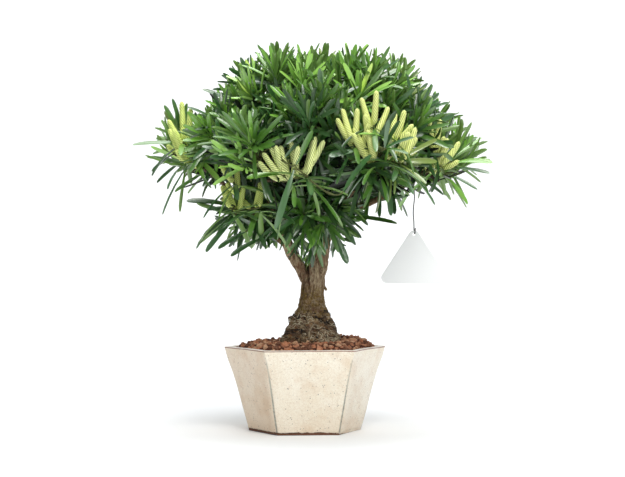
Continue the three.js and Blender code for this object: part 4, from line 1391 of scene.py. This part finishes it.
def shoot_tip(centre, direction, reach, leaf):
    """A shoot's tip, nearer to its mass's centre where its leaves would leave the outline."""
    for _ in range(SHOOT.tries):
        tip = centre + direction * reach
        if in_outline(tip + leaf) and in_outline(tip):
            return tip
        reach *= SHOOT.shorten
    return None


def side_twig(twig, draw):
    """A short twig that forks off another one and turns up."""
    fork = draw(*SHOOT.side_from)
    turn = draw(0, 2 * math.pi)
    way = leaning(tangent_of(twig, fork), draw(*SHOOT.side_angle), turn)
    way += UP * SHOOT.side_lift
    end = twig(fork) + way.normalized() * draw(*SHOOT.side_length)
    middle = twig(fork).lerp(end, SHOOT.side_middle) - UP * SHOOT.side_sag
    return bezier([twig(fork), middle, end])


def grow_shoot(mass, ends, heading, inner, blades, twigs, draw):
    """A shoot with its leaves and perhaps a side twig. An inner one is old, sparse, and dark as
    painted shade.
    """
    root, tip = ends
    length = (tip - root).length
    way = (tip - root).normalized()
    twig = bezier([root, root + way * (SHOOT.leave * length),
                   tip - heading * (SHOOT.arrive * length), tip])
    spray = spray_shade(tip, draw)
    # Painted shade: an inner spray takes the deepest colour, or the dark one where it reaches the
    # crown's rim or grows low.
    if inner:
        aside = math.hypot(tip.x - CROWN_MIDDLE[0], tip.y - CROWN_MIDDLE[1])
        spray = DARK if mass.tier == "low" or aside > SHOOT.dark_within else DEEP_SHADE
    twigs.append((twig, RADII.shoot, OLD_WOOD if inner else YOUNG_WOOD))
    first = max(SHOOT.first, 1 - SHOOT.bearing / max(length, 1))
    count = LEAF.per_inner if inner else LEAF.per_shoot
    grow_leaves(blades, twig, first, count, mass, spray, draw)
    if draw() < SHOOT.side_share and not inner:
        side = side_twig(twig, draw)
        twigs.append((side, RADII.side, YOUNG_WOOD))
        grow_leaves(blades, side, SHOOT.side_first, LEAF.per_side, mass, spray, draw,
                    LEAF.side_length)


def grow_mass(mass, blades, twigs):
    """One mass: a stem on from its bough, and shoots with leaves out to its surface."""
    draw = seeded(mass.seed)
    growth = GROWTH[mass.tier]
    curve = trunk.curve if mass is apex else boughs[mass.name].curve
    outward = tangent_of(curve, 1)
    stem = bezier([curve(1), curve(1) + outward * (BOUGH.stem_share * mass.reach[0])])
    twigs.append((stem, RADII.stem, OLD_WOOD))
    borders = borders_of(mass)
    inside = Vector((*CROWN_MIDDLE, mass.centre.z - SHOOT.away_below))
    away = (mass.centre - inside).normalized()
    spare = SHOOT.taller * LEAF.length * (1 - growth.leaf)
    for direction, inner in shoot_directions(growth.shoots, outward, draw):
        root = stem(lerp(*SHOOT.roots, draw()))
        reach = shoot_reach(mass, direction, borders) + spare
        reach *= draw(SHOOT.least_share, 1)
        stray = drawn(draw, -1, 1) * SHOOT.stray
        heading = direction * SHOOT.onward + away * SHOOT.outward + UP * growth.rise + stray
        heading.normalize()
        ahead = heading * (SHOOT.leaf_ahead * growth.leaf)
        tip = shoot_tip(mass.centre, direction, reach, ahead)
        if tip is not None:
            grow_shoot(mass, (root, tip), heading, inner, blades, twigs, draw)


# ---- Pollen cones ----

# A catkin's mesh, how far its scales stand out, its bare stalk, its belly, and where it closes
# to its tip.
CATKIN = Sizes(
    rows=25, sides=12, bump=1.5, bead_middle=0.6, stalk=0.05, swells=0.08, shoulder=0.6,
    slim=0.84, belly=0.16, belly_place=1.3, closes=0.86, tip=0.14, thinnest=0.6, short_one=0.8,
)
# Where a whorl's cones stand on its twig, and their lengths beside the spray's.
WHORL = Sizes(first=0.2, last=0.97, lengths=(0.8, 1.05))
# Each spray: how long its cones are beside the source's, how many more each whorl has, and the
# place of their colour in CONE_COLOURS.
CONE_LOOKS = {
    "front_left": (1.26, 2, 0), "front_right": (1.12, 1, 1), "far_left": (1.15, 1, 2),
    "far_right": (1, 2, 1), "low_left": (0.75, 0, 2), "back_left": (1, 2, 2),
    "back_right": (1, 2, 0),
}
CONE_COLOURS = [
    ("cone_cream", "f4ffb0", "828f38"), ("cone_yellow", "f6ffa2", "7e8f32"),
    ("cone_green", "eeff92", "7b8f36"),
]


def grow_whorl(count, scale, twig, axis, draw):
    """A whorl's cones in a spiral at the end of its twig: (foot, bend, tip) of each."""
    turn = draw() * 2 * math.pi
    first = max(WHORL.first, 1 - CONE.bearing / (twig(1) - twig(0)).length)
    for k in range(count):
        share = k / (count - 1)
        splay = lerp(CONE.splay_first, CONE.splay_last, share)
        direction = leaning(axis, splay, turn + k * GOLDEN_ANGLE)
        direction.z += CONE.lift
        direction.normalize()
        half = 0.5 * (CONE.length * scale * draw(*WHORL.lengths))
        foot = twig(lerp(first, WHORL.last, share))
        bend = foot + direction * half
        yield foot, bend, bend + (direction + UP * CONE.upturn).normalized() * half


def whorl_cones():
    """All cones as (colour, course), their stems, and the place and axis of each whorl."""
    cones, stems, whorls_at = [], [], []
    for n, (name, bough, whorls) in enumerate(CONE_SPRAYS):
        draw = seeded(CONE.seed + n)
        scale, more, colour = CONE_LOOKS[name]
        places = [Vector(place) for place, count, lean in whorls]
        start = boughs[bough].curve(CONE.leaves_bough_at)
        stem = bezier([start, start.lerp(sum(places, Vector()) / len(places), CONE.stem_share)])
        stems.append((stem, RADII.stem, OLD_WOOD))
        for i, (place, (_, count, lean)) in enumerate(zip(places, whorls)):
            twig = bezier([stem(lerp(*CONE.roots, i / (len(whorls) - 1))), place])
            stems.append((twig, RADII.whorl, YOUNG_WOOD))
            axis = Vector((lean, 0, 1)).normalized()
            whorls_at.append((place, axis))
            courses = grow_whorl(count + more, scale, twig, axis, draw)
            cones += [(colour, course) for course in courses]
    return cones, stems, whorls_at


def catkin_radius(share, bead, stout):
    """A thin stalk, a full body and a round tip. A bead is 1 on a scale and 0 between scales."""
    rise = min(1, max(0, share - CATKIN.stalk) / CATKIN.swells)
    close = math.sqrt(max(0.0, 1 - max(0, (share - CATKIN.closes) / CATKIN.tip) ** 2))
    belly = CATKIN.belly * math.sin(math.pi * min(1, share * CATKIN.belly_place))
    body = CONE.radius * (CATKIN.slim + belly) * rise ** CATKIN.shoulder * close * stout
    scales = CATKIN.bump * (bead - CATKIN.bead_middle) * rise * close
    return max(CATKIN.thinnest * (1 - share), body + scales)


def make_cones(cones):
    """Every cone: a catkin whose scales stand out as beads, set in turn from row to row."""
    heap = Heap()
    beads = []
    for colour, (foot, bend, tip) in cones:
        stout = lerp(CATKIN.short_one, 1, min(1, (tip - foot).length / CONE.length))

        def radius_at(share, angle, stout=stout):
            row = round(share * (CATKIN.rows - 1))
            side = round(angle / (2 * math.pi) * CATKIN.sides)
            beads.append((row + side) % 2)
            return catkin_radius(share, beads[-1], stout)

        heap.add(*tube(bezier([foot, bend, tip]), CATKIN.rows, CATKIN.sides, radius_at), colour)
        beads += [0.5, 1]
    piece = heap.piece("pollen_cones", [cone_finish(*row) for row in CONE_COLOURS])
    set_measure(piece, "scale", beads)
    return show(piece, "pollen_cones", *["cones_" + row[0] for row in CONE_SPRAYS])


# ---- Tag and wire ----

PLATE = Sizes(soft=0.2, arc_steps=12, hole_steps=24, bow=0.35, bow_width=20)
# The wire has a coat round the source's wire. It goes round the bough in turns, hangs down in
# steps with two soft kinks, (how far, how many), and ends in an eye through the tag's hole.
WIRE = Sizes(coat=1.6, room=0.3, turns=1.9, turn_steps=32, pitch=1.1, steps=14,
             kinks=((0.9, 7), (0.5, 11)), eye_steps=20, eye_drift=0.5, ring_sides=12, search=80)


def hanging_place():
    """Where the wire goes round its bough: the place, the bough's way and its radius."""
    bough = boughs[TAG.bough]
    steps = [i / WIRE.search for i in range(WIRE.search + 1)]
    share = next(share for share in steps if bough.curve(share).x > TAG.hangs_at)
    return bough.curve(share), tangent_of(bough.curve, share), lerp(bough.thick, BOUGH.tip, share)


def plate_loops():
    """The tag's three-cornered outline, an arc at each corner, and its round hole."""
    half, rise = TAG.width / 2 - TAG.corner, TAG.height - 2 * TAG.corner
    slant = math.atan2(rise, half)
    quarter = math.pi / 2
    arcs = [(-half, -rise, slant + quarter, 3 * quarter), (half, -rise, -quarter, quarter - slant),
            (0, 0, quarter - slant, slant + quarter)]
    outline = []
    for x, z, start, end in arcs:
        for k in range(PLATE.arc_steps + 1):
            angle = lerp(start, end, k / PLATE.arc_steps)
            outline.append((x + TAG.corner * math.cos(angle), z + TAG.corner * math.sin(angle)))
    level = TAG.corner - TAG.hole_below_top
    hole = [(TAG.hole * math.cos(a), level + TAG.hole * math.sin(a))
            for a in np.linspace(0, 2 * math.pi, PLATE.hole_steps, endpoint=False)]
    return outline, hole


def plate_mesh():
    """The tag as a flat filled curve with a soft edge, turned into a mesh."""
    data = bpy.data.curves.new("tag_outline", "CURVE")
    data.dimensions = "2D"
    data.fill_mode = "BOTH"
    data.extrude = (TAG.thickness / 2 - PLATE.soft) * MM
    data.bevel_depth = PLATE.soft * MM
    data.bevel_resolution = 2
    data.offset = -PLATE.soft * MM
    for loop in plate_loops():
        spline = data.splines.new("POLY")
        spline.points.add(len(loop) - 1)
        for point, (x, z) in zip(spline.points, loop):
            point.co = (x * MM, z * MM, 0, 1)
        spline.use_cyclic_u = True
    return settled(placed("tag_outline", data))


def make_tag(hang):
    """A blank plate with round corners and a hole near its top, slightly bowed."""
    mesh = plate_mesh()
    mesh.name = "tag_plate"
    top = TAG.top - TAG.corner
    for vertex in mesh.vertices:
        x, z, y = vertex.co
        bow = PLATE.bow * MM * math.cos(x / MM / PLATE.bow_width)
        vertex.co = (hang.x * MM + x, hang.y * MM - y + bow, top * MM + z)
    mesh.shade_smooth()
    mesh.set_sharp_from_angle(angle=math.radians(35))
    mesh.materials.clear()
    mesh.materials.append(plastic_finish("tag_white", "f0f2f2", 0.4))
    return show(placed("tag_plate", mesh), "tag", "tag")


def wire_turns(place, tangent, radius):
    """The wire's turns round the bough, from its loose end to the lowest point."""
    ring = radius + WIRE.room + TAG.wire
    side = tangent.cross(UP).normalized()
    down = tangent.cross(side).normalized()
    if down.z > 0:
        down = -down
    for k in range(WIRE.turn_steps + 1):
        left = 1 - k / WIRE.turn_steps
        angle = 2 * math.pi * WIRE.turns * left
        drift = tangent * (WIRE.pitch * left * WIRE.turns)
        yield place + drift + (down * math.cos(angle) + side * math.sin(angle)) * ring


def make_wire(hang, carrier):
    """One dark wire: twice round the bough, down with a few soft kinks, and through the tag."""
    route = list(wire_turns(*carrier))
    foot = TAG.top - TAG.hole_below_top + TAG.hole - WIRE.room - TAG.wire
    eye = Vector((hang.x, hang.y, foot + TAG.eye))
    top, bottom = route[-1], eye + UP * TAG.eye
    for k in range(1, WIRE.steps):
        share = k / WIRE.steps
        swell = math.sin(math.pi * share)
        x, y = [much * math.sin(many * share) * swell for much, many in WIRE.kinks]
        route.append(top.lerp(bottom, share) + Vector((x, y, 0)))
    for k in range(WIRE.eye_steps + 1):
        angle = 2 * math.pi * k / WIRE.eye_steps
        drift = WIRE.eye_drift * k / WIRE.eye_steps
        route.append(eye + Vector((drift, math.sin(angle), math.cos(angle))) * TAG.eye)
    heap = Heap()
    heap.add(*tube(smooth_curve(route), *TUBES.wire, lambda s, a: TAG.wire * WIRE.coat))
    coating = plastic_finish("wire_coating", "2f2d2c", 0.45)
    return show(heap.piece("tag_wire_dark", [coating]), "wire", "tag_wire")


# ---- Twigs ----

# How much thicker a twig is at last year's scar, where that is, and at its foot.
KNOT = Sizes(scar=0.9, at=0.5, width=0.07, foot=0.4, foot_width=0.1)


def knotted(share):
    """How much thicker a twig is at its foot and at the scars of last year's bud."""
    scar = KNOT.scar * bell(share, KNOT.at, KNOT.width)
    return 1 + scar + KNOT.foot * math.exp(-share / KNOT.foot_width)


def make_twigs(twigs):
    """Stems, shoots and side twigs, brown where they are old and green where they are young."""
    heap = Heap()
    for curve, radii, wood in twigs:
        heap.add(*tube(curve, *TUBES.twig, lambda s, a: lerp(*radii, s) * knotted(s)), wood)
    finishes = [twig_finish("twig_brown", "5d4a36", "3d3026"),
                twig_finish("twig_green", "5f6b35", "4a4a2a")]
    return show(heap.piece("twigs", finishes), "bark")


# ---- Leaves kept clear of the rest ----

# The points of a leaf that are tested: its rib from the third ring on, and its tip.
SPINE = [LEAF_SIDES * ring + 2 for ring in range(2, len(LEAF.stations))]
SPINE.append(LEAF_SIDES * len(LEAF.stations))
# Leaves stay away from the wire and the tag by some room, and off the crown's far back. Round
# each whorl's heart the crown's face is open within a radius, which turns to the front.
ROOM = Sizes(wire=2.5, tag=3, tag_depth=5, back=222, heart=22, whorl=20, whorl_turn=0.7)


# In how many steps each course is looked at.
LOOKS = Sizes(trunk=120, limb=60, bough=36, cone=12, wire=30)


def wood_and_cones(cones, hang):
    """Places along every limb, bough and cone and along the wire, each with its own radius."""
    places, radii = [], []

    def line(curve, steps, radius_at):
        for i in range(steps + 1):
            places.append(tuple(curve(i / steps)))
            radii.append(radius_at(i / steps))

    for limb, steps in ((trunk, LOOKS.trunk), (left_limb, LOOKS.limb)):
        line(limb.curve, steps, lambda s: limb.radius_at(limb.curve(s).z) + LEAF.clear)
    for bough in boughs.values():
        line(bough.curve, LOOKS.bough, lambda s: lerp(bough.thick, BOUGH.tip, s) + LEAF.clear)
    for _, course in cones:
        line(bezier(course), LOOKS.cone, lambda s: CONE.radius + LEAF.clear)
    fall = bezier([hang, hang - UP * (hang.z - TAG.top)])
    line(fall, LOOKS.wire, lambda s: ROOM.wire)
    return np.array(places), np.array(radii)


def clear_of(points, places, radii):
    """Whether each leaf is clear of all the places."""
    clear = np.ones(len(points), bool)
    for k in range(points.shape[1]):
        for rows in np.array_split(np.arange(len(points)), 12):
            gap = np.linalg.norm(points[rows, k, None] - places[None], axis=2) - radii
            clear[rows] &= gap.min(1) > 0
    return clear


def clear_of_tag(points, hang):
    """Whether each leaf is clear of the tag."""
    beside = abs(points[..., 0] - hang.x) < TAG.width / 2 + ROOM.tag
    level = abs(points[..., 1] - hang.y) < ROOM.tag_depth
    return ~(beside & level & (points[..., 2] < TAG.top + ROOM.tag)).any(1)


def clear_of_whorl(points, place, axis):
    """Whether each leaf is out of the opening that runs outwards from a whorl of cones."""
    heart = np.array(place + axis * ROOM.heart)
    out = (heart - np.array([*CROWN_MIDDLE, 0])) * (1, 1, 0)
    if out[1] < 0:
        out[1] -= ROOM.whorl_turn * np.linalg.norm(out)
    out /= np.linalg.norm(out)
    offset = points - heart
    ahead = offset @ out
    off_axis = np.linalg.norm(offset - ahead[..., None] * out, axis=2)
    return ~((ahead > 0) & (off_axis < ROOM.whorl)).any(1)


def within_crown(points):
    """Whether each leaf is in the crown's outline nearly to its tip, or a stray to its middle."""
    draw = seeded(SEEDS.strays)
    inside = in_outline(points)
    strays = np.array([draw() for _ in range(len(points))]) < STRAYS
    return inside[:, :4].all(1) | (strays & inside[:, :2].all(1))


def keep_clear(blades, cones, whorls, hang):
    """Leaves out what would touch a limb, a cone, the wire or the tag, or hide a whorl."""
    points = blades.points()[:, SPINE]
    keep = clear_of(points, *wood_and_cones(cones, hang)) & clear_of_tag(points, hang)
    for place, axis in whorls:
        keep &= clear_of_whorl(points, place, axis)
    keep &= within_crown(points) & (points[..., 1] < ROOM.back).all(1)
    blades.rows = [row for row, kept in zip(blades.rows, keep) if kept]


# ---- Leaves with places of their own ----


# Each from least to most: how far a leaf leans off the whorl's axis, how far under the whorl it
# stands, its length and width beside the usual ones, and its form.
WHORL_LEAF = Sizes(splay=(84, 125), under=(2, 7), length=(0.85, 1.12), width=(0.9, 1.3),
                   bend=(0, 0.4), twist=(-0.5, 0.5), droop=(0.3, 0.7), shades=4)


def grow_whorl_leaves(blades, whorls):
    """Below each whorl of cones a ring of leaves stands out sideways and down."""
    draw = seeded(SEEDS.whorls)
    for place, axis in whorls:
        turn = draw(0, 2 * math.pi)
        for k in range(LEAF.whorl):
            splay = math.radians(draw(*WHORL_LEAF.splay))
            direction = leaning(axis, splay, turn + k * GOLDEN_ANGLE).normalized()
            blades.add(
                root=place - axis * draw(*WHORL_LEAF.under), axis=axis, direction=direction,
                length=LEAF.length * draw(*WHORL_LEAF.length),
                width=LEAF.width * draw(*WHORL_LEAF.width), bend=draw(*WHORL_LEAF.bend),
                twist=draw(*WHORL_LEAF.twist), droop=draw(*WHORL_LEAF.droop),
                shade=DARK + int(WHORL_LEAF.shades * draw()),
            )


def shown_at(x, z, depth, y):
    """The place at y that appears at (x, z) from the front, with the scale of a depth."""
    scale = (CAMERA.y - depth) / CAMERA.y
    return Vector((CAMERA.x + (x - CAMERA.x) * scale, y, CAMERA.z + (z - CAMERA.z) * scale))


# The places on other twigs that a long leaf's twig may start from, how much a height counts
# there, how far a leaf slants to the front, and the way that it faces.
LONG_LEAF = Sizes(feet=(0.3, 0.5, 0.7, 0.9), height_counts=0.5, slant=6, foot_bend=0.3,
                  facing_x=(-0.3, 0.3), facing_y=-0.75, facing_z=0.65, bend=(0.1, 0.35),
                  twist=(-0.4, 0.4), droop=(0.05, 0.2))


def grow_long_leaves(blades, twigs):
    """The photo's outstanding leaves, each on a short twig from the nearest shoot."""
    draw = seeded(SEEDS.long_leaves)
    places = [twig(share) for twig, *_ in twigs for share in LONG_LEAF.feet]
    for xa, za, xb, zb, depth, width, shade in LONG_LEAVES:
        root = shown_at(xa, za, depth, depth + LONG_LEAF.slant)
        tip = shown_at(xb, zb, depth, depth - LONG_LEAF.slant)
        way = (tip - root).normalized()
        foot = min(places, key=lambda place: (
            (place - root).length + LONG_LEAF.height_counts * abs(place.z - root.z)))
        bend = root - way * (LONG_LEAF.foot_bend * (root - foot).length)
        twigs.append((bezier([foot, bend, root]), RADII.long_leaf, YOUNG_WOOD))
        axis = Vector((draw(*LONG_LEAF.facing_x), LONG_LEAF.facing_y, LONG_LEAF.facing_z))
        blades.add(root=root - way, axis=axis.normalized(), direction=way,
                   length=(tip - root).length + 2, width=width, bend=draw(*LONG_LEAF.bend),
                   twist=draw(*LONG_LEAF.twist), droop=draw(*LONG_LEAF.droop), shade=shade)


SPROUT = Sizes(
    root=(1.5, -5, 202), tip=(2.5, -10, 211), leaves=6, first=0.4, last=0.98, length=17,
    lengths=(0.8, 1.1), width=4.2, spread=(0.3, 0.9), bend=(0.1, 0.4), twist=(-0.5, 0.5),
    droop=(0, 0.2),
)


def grow_sprout(blades, twigs):
    """A young sprout that stands in the fork, with leaves in the two youngest shades."""
    draw = seeded(SEEDS.sprout)
    twig = bezier([Vector(SPROUT.root), Vector(SPROUT.tip)])
    twigs.append((twig, RADII.sprout, YOUNG_WOOD))
    for k in range(SPROUT.leaves):
        out = turned(across_from(UP), UP, k * GOLDEN_ANGLE)
        place = lerp(SPROUT.first, SPROUT.last, k / (SPROUT.leaves - 1))
        blades.add(root=twig(place), axis=UP,
                   direction=(UP + out * draw(*SPROUT.spread)).normalized(),
                   length=SPROUT.length * draw(*SPROUT.lengths), width=SPROUT.width,
                   bend=draw(*SPROUT.bend), twist=draw(*SPROUT.twist), droop=draw(*SPROUT.droop),
                   shade=FRESH + k % 2)


# ---- Assembly ----


def make_crown():
    """The leaves, twigs and cones, and the tag on its wire, for which the leaves make room."""
    cones, twigs, whorls = whorl_cones()
    place, tangent, radius = hanging_place()
    # The source's ring round the bough has flat sides, so the wire hangs from one of its corners.
    below = (tangent * tangent.z - UP).normalized()
    hang = place + below * (radius + WIRE.room + TAG.wire) / math.cos(math.pi / WIRE.ring_sides)
    blades = Blades()
    for mass in masses:
        grow_mass(mass, blades, twigs)
    keep_clear(blades, cones, whorls, hang)
    grow_whorl_leaves(blades, whorls)
    grow_long_leaves(blades, twigs)
    grow_sprout(blades, twigs)
    make_leaf_pieces(blades)
    make_twigs(twigs)
    make_cones(cones)
    make_tag(hang)
    make_wire(hang, (place, tangent, radius))


# ---- Camera, stage and light ----


def make_camera():
    """The camera, which sees the plant as in the photo."""
    camera = placed("camera", bpy.data.cameras.new("camera"))
    camera.data.lens = CAMERA.lens
    camera.data.sensor_width = CAMERA.sensor
    camera.data.sensor_fit = "HORIZONTAL"
    camera.location = Vector((CAMERA.x, CAMERA.y, CAMERA.z)) * MM
    camera.rotation_euler = (math.radians(90), 0, 0)
    bpy.context.scene.camera = camera


STAGE = Sizes(half_width=8000, front=-5500, curve_from=2700, curve=1600, wall=6000, steps=24)


def make_stage():
    """A pale floor that curves up into a wall behind."""
    profile = [(STAGE.front, 0), (STAGE.curve_from, 0)]
    for k in range(1, STAGE.steps + 1):
        angle = math.pi / 2 * k / STAGE.steps
        profile.append((STAGE.curve_from + STAGE.curve * math.sin(angle),
                        STAGE.curve * (1 - math.cos(angle))))
    profile.append((STAGE.curve_from + STAGE.curve, STAGE.wall))
    points = [(x, y, z) for y, z in profile for x in (-STAGE.half_width, STAGE.half_width)]
    quads = [(2 * i, 2 * i + 1, 2 * i + 3, 2 * i + 2) for i in range(len(profile) - 1)]
    floor = piece_of("studio_floor", points, [quads], [Finish("studio_white", "f4f5f6", 0.9).material])


# The lights as (name, place, aim, size, power, colour), with places and sizes in metres.
PLANT_AT = (0.01, 0, 0.3)
LIGHTS = [
    ("key", (0.38, -1.6, 1.72), PLANT_AT, 1.1, 34.5, (1, 0.985, 0.96)),
    ("top", (0.1, -0.2, 2.2), PLANT_AT, 1.3, 29, (0.97, 0.985, 1)),
    ("backdrop", (0, 2.2, 3.4), (0, 4.2, 0.9), 3.4, 115, (1, 1, 1)),
]
WORLD = Sizes(colour=(0.97, 0.985, 1, 1), strength=0.3)


def area_light(name, place, aim, size, power, colour):
    data = bpy.data.lights.new(name, "AREA")
    data.size = size
    data.energy = power
    data.color = colour
    light = placed(name, data)
    light.location = place
    way = Vector(aim) - Vector(place)
    light.rotation_euler = way.to_track_quat("-Z", "Y").to_euler()


def make_light():
    """Soft light from the front right and from above, and more on the backdrop."""
    world = bpy.data.worlds.new("studio")
    bpy.context.scene.world = world
    world.use_nodes = True
    back = next(n for n in world.node_tree.nodes if n.type == "BACKGROUND")
    back.inputs["Color"].default_value = WORLD.colour
    back.inputs["Strength"].default_value = WORLD.strength
    for row in LIGHTS:
        area_light(*row)
    bpy.context.scene.view_settings.view_transform = "Standard"


make_camera()
make_stage()
make_light()
make_pot()
finish_soil()
make_grit()
make_roots(make_trunk())
make_boughs()
make_crown()
